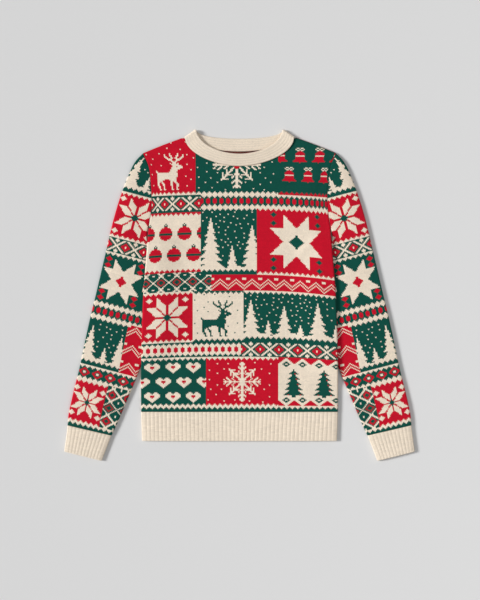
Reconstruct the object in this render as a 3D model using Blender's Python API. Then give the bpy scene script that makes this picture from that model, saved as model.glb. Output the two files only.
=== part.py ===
"""A knitted christmas sweater, laid flat on its back with its front up.

The head end points to +Y and the hem to -Y. The back rests on the plane z = 0, and the origin is at the
middle of the garment's outline, on that plane. Every piece of cloth is a wall with an outer and an inner
surface. A flattened tube has round edges, and pieces stay a seam gap apart.
"""

import math
from typing import NamedTuple

import bmesh
import bpy
from mathutils import Vector

# Cloth, metres.
WALL = 0.0026  # thickness of the jacquard knit and of the ribbed bands
EDGE_RADIUS = 0.0032  # outer radius of a flattened edge, so two layers stand 6.4 mm high there
SEAM_GAP = 0.0004  # space between two pieces at a seam
LAYERS = 2 * EDGE_RADIUS  # height of the two layers at an edge
FOLD_STEPS = 2  # flats in a quarter turn of an edge

# Body.
HEM_BOTTOM = -0.3285
HEM_SEAM = -0.2630
UNDERARM = 0.1510
TIP_Y = 0.3200  # shoulder tip, where the armhole ends
TIP_HALF_WIDTH = 0.2175
PANEL_FLAT = TIP_HALF_WIDTH - EDGE_RADIUS  # half width of a panel without its edge
SHAPE_POWER = 5  # the side's shape moves the columns near it and leaves the middle ones straight
SHOULDER_START = 0.1275  # half width where the shoulder leaves the neckband
SHOULDER_START_Y = 0.3543
SHOULDER_CROWN = 0.0008  # how far the shoulder line bulges
BODY_DOME = 0.0016  # loft of the front over the back, at the middle
DOME_TOP = 0.3300
DOME_RUN = 0.1500
EDGE_FADE = 0.0250  # loft and creases die away this far from an edge

# Neckband: a ring, flat in front and behind and folded over at each shoulder.
SEAM_HALF_WIDTH = 0.1220
SEAM_FOLD_Y = 0.3515
FRONT_SEAM_DROP = 0.0612
BACK_SEAM_DROP = 0.0280
FREE_HALF_WIDTH = 0.0960
FREE_FOLD_Y = 0.3697
FRONT_FREE_DROP = 0.0530
BACK_FREE_DROP = 0.0187
NECK_GAP = 0.0006  # space between the neckband and a panel, measured at the middle and at the shoulder
SEAM_POWER = 1.8  # roundness of the seam lines
FRONT_FREE_POWER = 1.9  # roundness of the free edge in front
BACK_FREE_POWER = 2.1  # the same behind the neck
BAND_THICKNESS = 0.0040  # two layers of rib
BAND_RIDGES = 5  # soft ridges along the band
RIDGE_HEIGHT = 0.0005
BAND_EDGE = 0.0012  # how far the rounded free edge stands past the flat of the band
BAND_BACK_Z = 0.0020  # middle of the band's thickness behind the neck
BAND_FOLD_Z = 0.0072  # the same where the band turns over at the shoulder
BAND_SEAM_Z = 0.0056  # the same at the middle of the front seam
BAND_FREE_Z = 0.0082  # the same at the middle of the front free edge
NECK_COLUMNS = 8  # sections of the band from the middle to a shoulder
TURN_STEPS = 4  # flats in the half turn at a shoulder

# Ribs of the hem and the cuffs.
HEM_RIBS = 48
CUFF_RIBS = 11
RIB_HEIGHT = 0.0008

# Sides of the body, which lie on the sleeves between the armhole and the place where a sleeve comes out.
LIFT = LAYERS + 0.0005
LIFT_TOP_START = 0.1490
LIFT_TOP_FULL = 0.1270
LIFT_LOW_FULL = -0.1680
LIFT_LOW_END = -0.2100
LIFT_RAMP = 0.0800  # from flat on the surface to fully lifted
LIFT_MARGIN = 0.0060  # fully lifted this far before the sleeve's edge

# Sleeves.
SLEEVE_DOME = 0.0013
SLEEVE_GROWTH_ROWS = 4  # rows of the table over which the dome and the creases grow from the armhole
RINGS_PER_ROW = 2  # rings of a sleeve for each row of its table
SHOULDER_COLUMNS = 6  # columns of a panel between the neckband and the armhole
ARMHOLE_STEPS = 8
UNDERARM_EASE = 0.0005  # more space between a sleeve and the body just at the underarm


class BodyRow(NamedTuple):
    """Half the width of the body at one height."""

    y: float
    half_width: float


BODY_ROWS = (
    BodyRow(y=-0.3285, half_width=0.2195),
    BodyRow(y=-0.2630, half_width=0.2215),
    BodyRow(y=-0.1910, half_width=0.2220),
    BodyRow(y=-0.0110, half_width=0.2170),
    BodyRow(y=0.1260, half_width=0.2065),
    BodyRow(y=0.1510, half_width=0.2045),
    BodyRow(y=0.2020, half_width=0.1975),
    BodyRow(y=0.2560, half_width=0.2000),
    BodyRow(y=0.2880, half_width=0.2040),
    BodyRow(y=0.3200, half_width=0.2175),
)


class SleeveRow(NamedTuple):
    """One ring of the right sleeve: its outer and inner edge, and its share of the armhole's bow."""

    outer_x: float
    outer_y: float
    inner_x: float
    inner_y: float
    bow: float


SLEEVE_ROWS = (
    SleeveRow(outer_x=0.2345, outer_y=0.3010, inner_x=0.2064, inner_y=0.1480, bow=0.80),
    SleeveRow(outer_x=0.2490, outer_y=0.2730, inner_x=0.2072, inner_y=0.1445, bow=0.55),
    SleeveRow(outer_x=0.2630, outer_y=0.2370, inner_x=0.2078, inner_y=0.1400, bow=0.30),
    SleeveRow(outer_x=0.2760, outer_y=0.1980, inner_x=0.2080, inner_y=0.1345, bow=0.12),
    SleeveRow(outer_x=0.2885, outer_y=0.1520, inner_x=0.2074, inner_y=0.1260, bow=0.00),
    SleeveRow(outer_x=0.3000, outer_y=0.1020, inner_x=0.1975, inner_y=0.0820, bow=0.00),
    SleeveRow(outer_x=0.3115, outer_y=0.0530, inner_x=0.1890, inner_y=0.0260, bow=0.00),
    SleeveRow(outer_x=0.3240, outer_y=0.0000, inner_x=0.1870, inner_y=-0.0320, bow=0.00),
    SleeveRow(outer_x=0.3368, outer_y=-0.0530, inner_x=0.1965, inner_y=-0.0900, bow=0.00),
    SleeveRow(outer_x=0.3490, outer_y=-0.1080, inner_x=0.2150, inner_y=-0.1430, bow=0.00),
    SleeveRow(outer_x=0.3610, outer_y=-0.1660, inner_x=0.2370, inner_y=-0.1985, bow=0.00),
    SleeveRow(outer_x=0.3740, outer_y=-0.2180, inner_x=0.2575, inner_y=-0.2470, bow=0.00),
    SleeveRow(outer_x=0.3850, outer_y=-0.2680, inner_x=0.2770, inner_y=-0.2930, bow=0.00),
    SleeveRow(outer_x=0.3872, outer_y=-0.2930, inner_x=0.2880, inner_y=-0.3160, bow=0.00),
)


class CuffRow(NamedTuple):
    """One ring of the right cuff: its outer and its inner edge."""

    outer_x: float
    outer_y: float
    inner_x: float
    inner_y: float


CUFF_ROWS = (
    CuffRow(outer_x=0.3870, outer_y=-0.2936, inner_x=0.2886, inner_y=-0.3165),
    CuffRow(outer_x=0.3905, outer_y=-0.3210, inner_x=0.2988, inner_y=-0.3430),
    CuffRow(outer_x=0.3948, outer_y=-0.3525, inner_x=0.3105, inner_y=-0.3735),
)


class Crease(NamedTuple):
    """A soft ridge, or with a height under zero a trough, between two points of the cloth."""

    x0: float
    y0: float
    x1: float
    y1: float
    width: float
    height: float


FRONT_CREASES = (
    Crease(x0=-0.186, y0=0.138, x1=-0.112, y1=0.084, width=0.013, height=0.0013),
    Crease(x0=-0.190, y0=0.098, x1=-0.126, y1=0.030, width=0.015, height=-0.0007),
    Crease(x0=0.184, y0=0.142, x1=0.122, y1=0.078, width=0.012, height=0.0012),
    Crease(x0=0.190, y0=0.104, x1=0.140, y1=0.018, width=0.017, height=-0.0007),
    Crease(x0=-0.172, y0=0.292, x1=-0.150, y1=0.196, width=0.016, height=0.0009),
    Crease(x0=0.176, y0=0.286, x1=0.146, y1=0.210, width=0.018, height=0.0010),
    Crease(x0=-0.104, y0=-0.050, x1=-0.128, y1=-0.258, width=0.021, height=0.0011),
    Crease(x0=-0.030, y0=-0.128, x1=-0.036, y1=-0.262, width=0.024, height=-0.0006),
    Crease(x0=0.062, y0=-0.092, x1=0.078, y1=-0.262, width=0.022, height=0.0009),
    Crease(x0=0.150, y0=-0.030, x1=0.160, y1=-0.240, width=0.019, height=0.0010),
)

SLEEVE_CREASES = (
    Crease(x0=0.222, y0=0.146, x1=0.262, y1=0.092, width=0.011, height=0.0013),
    Crease(x0=0.232, y0=0.176, x1=0.252, y1=0.236, width=0.015, height=0.0008),
    Crease(x0=0.236, y0=0.030, x1=0.296, y1=0.004, width=0.014, height=-0.0007),
    Crease(x0=0.238, y0=-0.034, x1=0.312, y1=-0.046, width=0.012, height=0.0012),
    Crease(x0=0.250, y0=-0.096, x1=0.322, y1=-0.086, width=0.014, height=0.0010),
    Crease(x0=0.280, y0=-0.220, x1=0.336, y1=-0.258, width=0.013, height=0.0009),
)

# Heights of the panels' rows at the side edge, from the hem seam to the underarm.
LOWER_ROWS = (-0.2630, -0.2370, -0.2120, -0.1890, -0.1660, -0.1380, -0.1100, -0.0790, -0.0450, -0.0110,
              0.0230, 0.0540, 0.0800, 0.1040, 0.1270, 0.1390, 0.1480)

CREAM = (0.807, 0.694, 0.560, 1.0)
GREEN = (0.010, 0.088, 0.060, 1.0)
RED = (0.552, 0.010, 0.028, 1.0)


# Small helpers.


def smooth(value):
    """A soft step from 0 to 1 as the value goes from 0 to 1."""
    value = min(max(value, 0.0), 1.0)
    return value * value * (3 - 2 * value)


def read(rows, key, column, at):
    """One column of a table at a value of its key column, on a smooth curve through the rows."""
    rows = sorted(rows, key=lambda row: getattr(row, key))
    keys = [getattr(row, key) for row in rows]
    values = [getattr(row, column) for row in rows]
    at = min(max(at, keys[0]), keys[-1])
    low = max(i for i in range(len(keys) - 1) if keys[i] <= at or i == 0)
    high = low + 1

    def slope(i):
        before, after = max(i - 1, 0), min(i + 1, len(keys) - 1)
        return (values[after] - values[before]) / (keys[after] - keys[before])

    span = keys[high] - keys[low]
    t = (at - keys[low]) / span
    return (
        values[low] * (1 + 2 * t) * (1 - t) ** 2
        + values[high] * t * t * (3 - 2 * t)
        + slope(low) * span * t * (1 - t) ** 2
        - slope(high) * span * t * t * (1 - t)
    )


def row_at(rows, at):
    """A row between two rows of a table, at a fractional index, on a smooth curve through the rows."""
    last = len(rows) - 1
    low = min(int(at), last - 1)
    t = at - low
    before, start, end, after = (rows[min(max(low + i, 0), last)] for i in (-1, 0, 1, 2))
    weights = (
        -0.5 * t * (1 - t) ** 2,
        1 + t * t * (1.5 * t - 2.5),
        0.5 * t * (1 + t * (4 - 3 * t)),
        -0.5 * t * t * (1 - t),
    )
    columns = zip(before, start, end, after)
    return type(start)(*(sum(w * v for w, v in zip(weights, values)) for values in columns))


def creases_at(creases, x, y):
    """The height that the creases add at one place."""
    total = 0.0
    for crease in creases:
        start = Vector((crease.x0, crease.y0))
        run = Vector((crease.x1, crease.y1)) - start
        offset = Vector((x, y)) - start
        along = min(max(offset.dot(run) / run.length_squared, 0.0), 1.0)
        across = (offset - run * along).length / crease.width
        total += crease.height * math.exp(-across * across) * (0.35 + 0.65 * math.sin(math.pi * along))
    return total


def fold_offset(step, curl, radius):
    """How far a point of a fold reaches out and drops. A curl of 0 is a flat cut edge, 1 a quarter turn."""
    share = step / FOLD_STEPS
    angle = share * math.pi / 2
    reach = (1 - curl) * share * EDGE_RADIUS + curl * radius * math.sin(angle)
    drop = curl * (radius * (1 - math.cos(angle)) - share * SEAM_GAP / 2)
    return reach, drop


def arch(half_width, drop, share, power):
    """A point of a rounded neckline: its x and how far it lies under the fold line's height."""
    return half_width * share, drop * (1 - abs(share) ** power) ** (1 / power)


def half_width_at(y):
    return read(BODY_ROWS, "y", "half_width", min(y, TIP_Y - EDGE_RADIUS))


def sleeve_edge_at(y):
    """Half width at which the sleeves' inner edge lies."""
    return read(SLEEVE_ROWS, "inner_y", "inner_x", y)


def lift_at(x, y):
    """Height of the back over the surface, where it lies on a sleeve."""
    edge = sleeve_edge_at(y)
    across = smooth((abs(x) - (edge - LIFT_RAMP)) / (LIFT_RAMP - LIFT_MARGIN))
    top = smooth((LIFT_TOP_START - y) / (LIFT_TOP_START - LIFT_TOP_FULL))
    low = smooth((y - LIFT_LOW_END) / (LIFT_LOW_FULL - LIFT_LOW_END))
    return LIFT * across * top * low


def loft_at(x, y):
    """Height that the front gains over two flat layers, from its dome and creases."""
    half_width = half_width_at(y)
    side = smooth((half_width - EDGE_RADIUS - abs(x)) / EDGE_FADE)
    dome = BODY_DOME * (1 - (abs(x) / half_width) ** 4) * smooth((DOME_TOP - y) / DOME_RUN)
    top = smooth((shoulder_at(abs(x)) - EDGE_RADIUS - y) / EDGE_FADE)
    return side * top * (dome + creases_at(FRONT_CREASES, x, y))


def shoulder_at(x):
    """Height of the shoulder line at a distance from the middle."""
    share = (TIP_HALF_WIDTH - x) / (TIP_HALF_WIDTH - SHOULDER_START)
    line = TIP_Y + share * (SHOULDER_START_Y - TIP_Y)
    return line + SHOULDER_CROWN * math.sin(math.pi * min(max(share, 0.0), 1.0))


# Making solids.


def add_node(name, mesh_builder, color, roughness):
    """Turns a finished bmesh into an object with its own material."""
    bmesh.ops.recalc_face_normals(mesh_builder, faces=mesh_builder.faces)
    mesh = bpy.data.meshes.new(name)
    mesh_builder.to_mesh(mesh)
    mesh_builder.free()
    mesh.shade_smooth()
    mesh.set_sharp_from_angle(angle=math.radians(50))
    material = bpy.data.materials.new(name)
    material.use_nodes = True
    shader = material.node_tree.nodes["Principled BSDF"]
    shader.inputs["Base Color"].default_value = color
    shader.inputs["Roughness"].default_value = roughness
    shader.inputs["Metallic"].default_value = 0.0
    mesh.materials.append(material)
    node = bpy.data.objects.new(name, mesh)
    bpy.context.scene.collection.objects.link(node)
    return node


def skin(builder, grid, around):
    """Quads over a grid of points. Around closes each row into a ring. Returns the grid of vertices."""
    verts = [[builder.verts.new(point) for point in row] for row in grid]
    columns = len(grid[0]) if around else len(grid[0]) - 1
    for upper, lower in zip(verts, verts[1:]):
        for i in range(columns):
            j = (i + 1) % len(upper)
            builder.faces.new((upper[i], upper[j], lower[j], lower[i]))
    return verts


def rim(builder, outer, inner, anchors, around):
    """Closes a wall between two rows of points. Anchors say which outer point each inner one meets."""
    pairs = len(inner) if around else len(inner) - 1
    for i in range(pairs):
        j = (i + 1) % len(inner)
        end = anchors[j] if j else len(outer)
        run = [outer[k % len(outer)] for k in range(anchors[i], end + 1)]
        builder.faces.new([inner[j], inner[i]] + run)


def wall(name, outer_grid, inner_grid, anchors, around, color):
    """A cloth wall from the grids of its two surfaces."""
    builder = bmesh.new()
    outer = skin(builder, outer_grid, around)
    inner = skin(builder, inner_grid, around)
    rim(builder, outer[0], inner[0], anchors, around)
    rim(builder, outer[-1], inner[-1], anchors, around)
    if not around:
        rows = list(range(len(outer)))
        for column in (0, -1):
            rim(builder, [row[column] for row in outer], [row[column] for row in inner], rows, False)
    return add_node(name, builder, color, 0.9)


# Front and back.


class Column(NamedTuple):
    """A column of a panel: its x at the shoulder, step round the side fold, and share of the neckline."""

    x: float
    fold: int
    neck: float | None


def panel_columns():
    half = []
    for i in range(NECK_COLUMNS + 1):
        neck = math.sin(math.pi / 2 * i / NECK_COLUMNS)
        half.append(Column((SEAM_HALF_WIDTH + NECK_GAP) * neck, 0, neck))
    for i in range(SHOULDER_COLUMNS + 1):
        half.append(Column(SHOULDER_START + (PANEL_FLAT - SHOULDER_START) * i / SHOULDER_COLUMNS, 0, None))
    half += [Column(PANEL_FLAT, step, None) for step in range(1, FOLD_STEPS + 1)]
    other = [Column(-c.x, c.fold, None if c.neck is None else -c.neck) for c in half[:0:-1]]
    return other + half


def panel_rows():
    """Each row as its share of the height and its step round the shoulder's fold."""
    top = TIP_Y - EDGE_RADIUS
    first = UNDERARM + EDGE_RADIUS
    heights = list(LOWER_ROWS) + [
        first + (top - first) * i / ARMHOLE_STEPS for i in range(ARMHOLE_STEPS + 1)
    ]
    rows = [((y - HEM_SEAM) / (top - HEM_SEAM), 0) for y in heights]
    return rows + [(1.0, step) for step in range(1, FOLD_STEPS + 1)]


def side_curl(y):
    """1 down the side seam and 0 along the armhole, where the panel ends in a cut edge."""
    return smooth((UNDERARM + EDGE_RADIUS - y) / 0.012)


def panel_point(column, row, is_front, inner):
    """One point of a panel's outer or inner surface."""
    share, step = row
    radius = EDGE_RADIUS - (WALL if inner else 0)
    if column.neck is None:
        top = shoulder_at(abs(column.x) + column.fold / FOLD_STEPS * EDGE_RADIUS)
    else:
        drop = (FRONT_SEAM_DROP if is_front else BACK_SEAM_DROP) + NECK_GAP
        top = SEAM_FOLD_Y - arch(0, drop, column.neck, SEAM_POWER)[1]
    reach, sink = fold_offset(step, 1.0 if column.neck is None else 0.0, radius)
    low = HEM_SEAM + SEAM_GAP / 2
    y = low + share * (top - EDGE_RADIUS - low) + reach
    side_reach, side_sink = fold_offset(column.fold, side_curl(y), radius)
    pull = (half_width_at(y) - TIP_HALF_WIDTH) * (abs(column.x) / PANEL_FLAT) ** SHAPE_POWER
    x = math.copysign(abs(column.x) + pull + side_reach, column.x)
    base = lift_at(x, y)
    sink += side_sink
    if is_front:
        z = base + LAYERS + loft_at(x, y) - sink - (WALL if inner else 0)
    else:
        z = base + sink + (WALL if inner else 0)
    return Vector((x, y, z))


def build_panel(name, is_front, color):
    columns = panel_columns()
    rows = panel_rows()
    outer, inner = (
        [[panel_point(column, row, is_front, inside) for column in columns] for row in rows]
        for inside in (False, True)
    )
    return wall(name, outer, inner, list(range(len(columns))), False, color)


# Flattened tubes: sleeves, cuffs and hem.


class Station(NamedTuple):
    """One ring of a flattened tube: its two edges, and how its top bows sideways and rises between them."""

    start: Vector
    end: Vector
    bow: object
    rise: object


class TopPoint(NamedTuple):
    """A point across a tube's top: its share of the width and of a rib's height, and if it is inside too."""

    share: float
    high: float
    inside: bool


RIB_PROFILE = (TopPoint(0.0, 0.0, True), TopPoint(0.22, 1.0, False), TopPoint(0.60, 1.0, False),
               TopPoint(0.82, 0.0, False))


def flat_top(count):
    return [TopPoint(i / count, 0.0, True) for i in range(count + 1)]


def ribbed_top(count):
    """Ribs side by side, each with a groove before its flat crest."""
    points = [
        TopPoint((i + at.share) / count, at.high, at.inside) for i in range(count) for at in RIB_PROFILE
    ]
    return points + [TopPoint(1.0, 0.0, True)]


def tube_ring(station, top, bottom_count, inner):
    """The points of one ring: along the top, round the end, back along the bottom and round the start."""
    radius = EDGE_RADIUS - (WALL if inner else 0)
    direction = (station.end - station.start).normalized()
    near = station.start + direction * EDGE_RADIUS
    far = station.end - direction * EDGE_RADIUS
    run = far - near

    def place(share, z):
        spot = near + run * share
        return Vector((spot.x + station.bow(share), spot.y, z))

    def turn(centre, way):
        for step in range(1, 2 * FOLD_STEPS):
            angle = step / FOLD_STEPS * math.pi / 2
            spot = centre + direction * (way * radius * math.sin(angle))
            yield Vector((spot.x, spot.y, EDGE_RADIUS + way * radius * math.cos(angle)))

    points = []
    for point in top:
        spot = near + run * point.share
        z = LAYERS + station.rise(spot.x + station.bow(point.share), spot.y, point.share)
        z += -WALL if inner else point.high * RIB_HEIGHT
        points.append(place(point.share, z))
    points += turn(far + Vector((station.bow(1.0), 0)), 1)
    points += [place(1 - i / bottom_count, WALL if inner else 0.0) for i in range(bottom_count + 1)]
    points += turn(near + Vector((station.bow(0.0), 0)), -1)
    return points


def build_tube(name, stations, top, bottom_count, color):
    """A flattened tube, with one point of the plain inner surface under each rib."""
    plain = [point for point in top if point.inside]
    outer = [tube_ring(station, top, bottom_count, False) for station in stations]
    inner = [tube_ring(station, plain, bottom_count, True) for station in stations]
    anchors = [i for i, point in enumerate(top) if point.inside]
    anchors += range(len(top), len(outer[0]))
    return wall(name, outer, inner, anchors, True, color)


def no_bow(share):
    return 0.0


def mirrored(point, side):
    return Vector((side * point.x, point.y))


def armhole_bow(share):
    """How far the armhole's curve lies inside the straight line between its ends."""
    low, high = UNDERARM + EDGE_RADIUS, TIP_Y - EDGE_RADIUS
    first, last = half_width_at(low), half_width_at(high)
    return half_width_at(low + share * (high - low)) - (first + share * (last - first))


def sleeve_stations(side):
    """The rings of a sleeve, from the armhole to the cuff seam."""
    gap = SEAM_GAP
    low, high = UNDERARM + EDGE_RADIUS, TIP_Y - EDGE_RADIUS
    near = Vector((half_width_at(low) + gap + UNDERARM_EASE, low))
    far = Vector((half_width_at(high) + gap, high))
    direction = (far - near).normalized()
    rings = [(near - direction * EDGE_RADIUS, far + direction * EDGE_RADIUS, 1.0)]
    count = (len(SLEEVE_ROWS) - 1) * RINGS_PER_ROW
    for i in range(count + 1):
        row = row_at(SLEEVE_ROWS, i / RINGS_PER_ROW)
        rings.append((Vector((row.inner_x, row.inner_y)), Vector((row.outer_x, row.outer_y)), row.bow))
    stations = []
    for i, (start, end, bow) in enumerate(rings):
        grown = smooth(i / RINGS_PER_ROW / SLEEVE_GROWTH_ROWS)

        def rise(x, y, share, grown=grown):
            across = max(0.0, (share - 0.2) / 0.8)
            dome = SLEEVE_DOME * math.sin(math.pi * across)
            fade = smooth(share / 0.2) * smooth((1 - share) / 0.2)
            return grown * (dome + fade * creases_at(SLEEVE_CREASES, abs(x), y))

        def bowed(share, bow=bow):
            return side * bow * armhole_bow(share)

        stations.append(Station(mirrored(start, side), mirrored(end, side), bowed, rise))
    return stations


def build_sleeve(name, side, color):
    return build_tube(name, sleeve_stations(side), flat_top(ARMHOLE_STEPS), ARMHOLE_STEPS, color)


def build_cuff(name, side, color):
    stations = [
        Station(
            mirrored(Vector((row.inner_x, row.inner_y)), side),
            mirrored(Vector((row.outer_x, row.outer_y)), side),
            no_bow,
            lambda x, y, share: SLEEVE_DOME * 0.5 * math.sin(math.pi * share),
        )
        for row in CUFF_ROWS
    ]
    return build_tube(name, stations, ribbed_top(CUFF_RIBS), 6, color)


def build_hem(name, color):
    top = HEM_SEAM - SEAM_GAP / 2
    heights = (top, (top + HEM_BOTTOM) / 2, HEM_BOTTOM)
    stations = [
        Station(
            Vector((-half_width_at(y), y)),
            Vector((half_width_at(y), y)),
            no_bow,
            lambda x, at, share: loft_at(x, at),
        )
        for y in heights
    ]
    return build_tube(name, stations, ribbed_top(HEM_RIBS), 14, color)


# Neckband.


def band_section(share, turn):
    """One closed section of the neckband. Turn is 0 in front, pi behind, and between them round a shoulder."""
    front = (1 + math.cos(turn)) / 2
    seam_drop = FRONT_SEAM_DROP * front + BACK_SEAM_DROP * (1 - front)
    free_drop = FRONT_FREE_DROP * front + BACK_FREE_DROP * (1 - front)
    free_power = FRONT_FREE_POWER * front + BACK_FREE_POWER * (1 - front)
    seam_x, seam_y = arch(SEAM_HALF_WIDTH, seam_drop, share, SEAM_POWER)
    free_x, free_y = arch(FREE_HALF_WIDTH, free_drop, share, free_power)
    seam = Vector((seam_x, SEAM_FOLD_Y - seam_y))
    run = Vector((free_x, FREE_FOLD_Y - free_y)) - seam
    fold_run = Vector((SEAM_HALF_WIDTH - FREE_HALF_WIDTH, FREE_FOLD_Y - SEAM_FOLD_Y)).normalized()
    away = Vector((math.copysign(fold_run.y, share), fold_run.x))
    middle = (BAND_FOLD_Z + BAND_BACK_Z) / 2
    radius = (BAND_FOLD_Z - BAND_BACK_Z) / 2
    out = Vector((away.x * math.sin(turn), away.y * math.sin(turn), math.cos(turn)))

    def place(across, off):
        spot = seam + run * across
        arched = BAND_SEAM_Z + (BAND_FREE_Z - BAND_SEAM_Z) * min(across, 1.0) - BAND_FOLD_Z
        z = middle + front * arched * (1 - abs(share) ** 4)
        centre = Vector((spot.x, spot.y, z))
        return centre + out * (radius + off)

    half = BAND_THICKNESS / 2
    count = 2 * BAND_RIDGES
    past = 1 + BAND_EDGE / run.length
    points = []
    for i in range(count + 1):
        points.append(place(i / count, half + (i % 2) * RIDGE_HEIGHT * front))
    points.append(place(past, 0.0))
    for i in range(count, -1, -1):
        points.append(place(i / count, -half - (i % 2) * RIDGE_HEIGHT * (1 - front)))
    return points


def build_collar(name, color):
    shares = [math.sin(math.pi / 2 * i / NECK_COLUMNS) for i in range(-NECK_COLUMNS, NECK_COLUMNS + 1)]
    turns = [math.pi * i / TURN_STEPS for i in range(1, TURN_STEPS)]
    sections = [band_section(share, 0.0) for share in shares]
    sections += [band_section(1.0, turn) for turn in turns]
    sections += [band_section(share, math.pi) for share in reversed(shares)]
    sections += [band_section(-1.0, turn) for turn in reversed(turns)]
    builder = bmesh.new()
    rings = skin(builder, sections, True)
    first, last = rings[0], rings[-1]
    for i, vert in enumerate(first):
        j = (i + 1) % len(first)
        builder.faces.new((last[i], last[j], first[j], vert))
    return add_node(name, builder, color, 0.92)


def main():
    for old in list(bpy.data.objects):
        bpy.data.objects.remove(old)
    build_panel("front", True, GREEN)
    build_panel("back", False, GREEN)
    for side, word in ((-1, "left"), (1, "right")):
        build_sleeve(f"sleeve_{word}", side, RED)
        build_cuff(f"cuff_{word}", side, CREAM)
    build_hem("hem", CREAM)
    build_collar("collar", CREAM)


main()
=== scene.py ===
"""A knitted christmas sweater, laid flat on its back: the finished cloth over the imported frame.

Lengths are in metres. +Y points to the neck, +X to the right as seen from above and +Z up, out of the
front. Panels and sleeves are lattices with two faces for each knitted stitch, so a change of yarn follows
the slant of the stitches. Charts are drawn in stitches and rows, from the hem or the cuff upwards.
"""

import logging
import math
from dataclasses import dataclass, field
from enum import Enum, IntEnum
from typing import NamedTuple, Sequence

import bpy
import numpy as np
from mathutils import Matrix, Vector


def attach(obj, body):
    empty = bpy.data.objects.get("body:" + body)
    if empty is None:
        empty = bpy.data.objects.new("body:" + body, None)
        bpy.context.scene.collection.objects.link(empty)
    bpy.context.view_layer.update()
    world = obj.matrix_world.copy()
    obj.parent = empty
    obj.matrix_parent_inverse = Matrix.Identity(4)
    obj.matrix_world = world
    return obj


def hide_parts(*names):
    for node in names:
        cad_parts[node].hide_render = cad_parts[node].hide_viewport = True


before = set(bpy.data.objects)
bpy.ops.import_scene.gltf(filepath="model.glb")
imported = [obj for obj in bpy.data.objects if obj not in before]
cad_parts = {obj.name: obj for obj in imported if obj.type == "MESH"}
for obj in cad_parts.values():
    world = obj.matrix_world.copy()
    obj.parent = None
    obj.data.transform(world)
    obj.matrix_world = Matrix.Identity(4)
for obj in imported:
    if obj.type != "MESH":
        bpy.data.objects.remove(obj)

Array = np.ndarray
log = logging.getLogger("sweater")


# Sizes shared by all the cloth, and helpers.


@dataclass(frozen=True)
class Cloth:
    """Thicknesses, folds and gauge of the knit."""

    wall: float = 0.0026
    edge_radius: float = 0.0032
    seam_gap: float = 0.0004
    stitch: float = 0.0030
    row: float = 0.0024
    slant: float = 0.6

    @property
    def layers(self) -> float:
        """Height of two layers at an edge."""
        return 2 * self.edge_radius

    @property
    def quarter(self) -> float:
        """Length of cloth in a quarter turn round an edge."""
        return math.pi / 2 * self.edge_radius


CLOTH = Cloth()


def smooth(value: Array | float) -> Array:
    """A soft step from 0 to 1 as the value goes from 0 to 1."""
    value = np.clip(value, 0.0, 1.0)
    return value * value * (3 - 2 * value)


def ripple(value: Array, period: float) -> Array:
    """A triangle wave that is 0 at the middle of each period and 1 at its ends."""
    return np.abs(2 * np.mod(value / period, 1.0) - 1)


class Curve:
    """A smooth curve through a table's rows, with the same slopes as the solids have."""

    def __init__(self, keys: Sequence[float], values: Sequence[float]) -> None:
        """Sorts the rows by their key and works out a slope at each.

        Args:
            keys: The key of each row.
            values: The value of each row.
        """
        order = np.argsort(keys)
        self.keys = np.array(keys, float)[order]
        self.values = np.array(values, float)[order]
        last = len(order) - 1
        before = np.maximum(np.arange(last + 1) - 1, 0)
        after = np.minimum(np.arange(last + 1) + 1, last)
        self.slopes = (self.values[after] - self.values[before]) / (self.keys[after] - self.keys[before])

    def __call__(self, at: Array | float) -> Array:
        """Values at the given keys, held at the ends.

        Args:
            at: Keys to read at.

        Returns:
            The values there.
        """
        at = np.clip(at, self.keys[0], self.keys[-1])
        low = np.clip(np.searchsorted(self.keys, at) - 1, 0, len(self.keys) - 2)
        span = self.keys[low + 1] - self.keys[low]
        t = (at - self.keys[low]) / span
        return (
            self.values[low] * (1 + 2 * t) * (1 - t) ** 2
            + self.values[low + 1] * t * t * (3 - 2 * t)
            + self.slopes[low] * span * t * (1 - t) ** 2
            - self.slopes[low + 1] * span * t * t * (1 - t)
        )


@dataclass
class SoftNoise:
    """Smooth seeded noise over the plane, from -1 to 1."""

    seed: int
    size: int = 64
    start: tuple[float, float] = (7.3, 3.9)

    def __post_init__(self) -> None:
        """Fills a square of random heights, which repeats."""
        self.heights = np.random.default_rng(self.seed).uniform(-1, 1, (self.size, self.size))

    def __call__(self, x: Array, y: Array, length: float) -> Array:
        """Noise at points of the plane.

        Args:
            x: First coordinates.
            y: Second coordinates.
            length: Distance from one random height to the next.

        Returns:
            The noise there.
        """
        u = np.asarray(x) / length + self.start[0]
        v = np.asarray(y) / length + self.start[1]
        i, j = np.floor(u).astype(int), np.floor(v).astype(int)
        s, t = smooth(u - i), smooth(v - j)
        n = self.size
        grid = self.heights
        low = grid[i % n, j % n] * (1 - s) + grid[(i + 1) % n, j % n] * s
        high = grid[i % n, (j + 1) % n] * (1 - s) + grid[(i + 1) % n, (j + 1) % n] * s
        return low * (1 - t) + high * t

    def waves(self, x: Array, y: Array, lengths: tuple[float, float]) -> Array:
        """Long and short noise together, the long one a little stronger."""
        return 0.6 * self(x, y, lengths[0]) + 0.4 * self(x, y, lengths[1])


class Crease(NamedTuple):
    """A soft ridge, or with a height under zero a trough, between two points of the cloth."""

    x0: float
    y0: float
    x1: float
    y1: float
    width: float
    height: float


CREASE_ENDS = 0.35  # the share of its height that a crease keeps at its two ends


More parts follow.
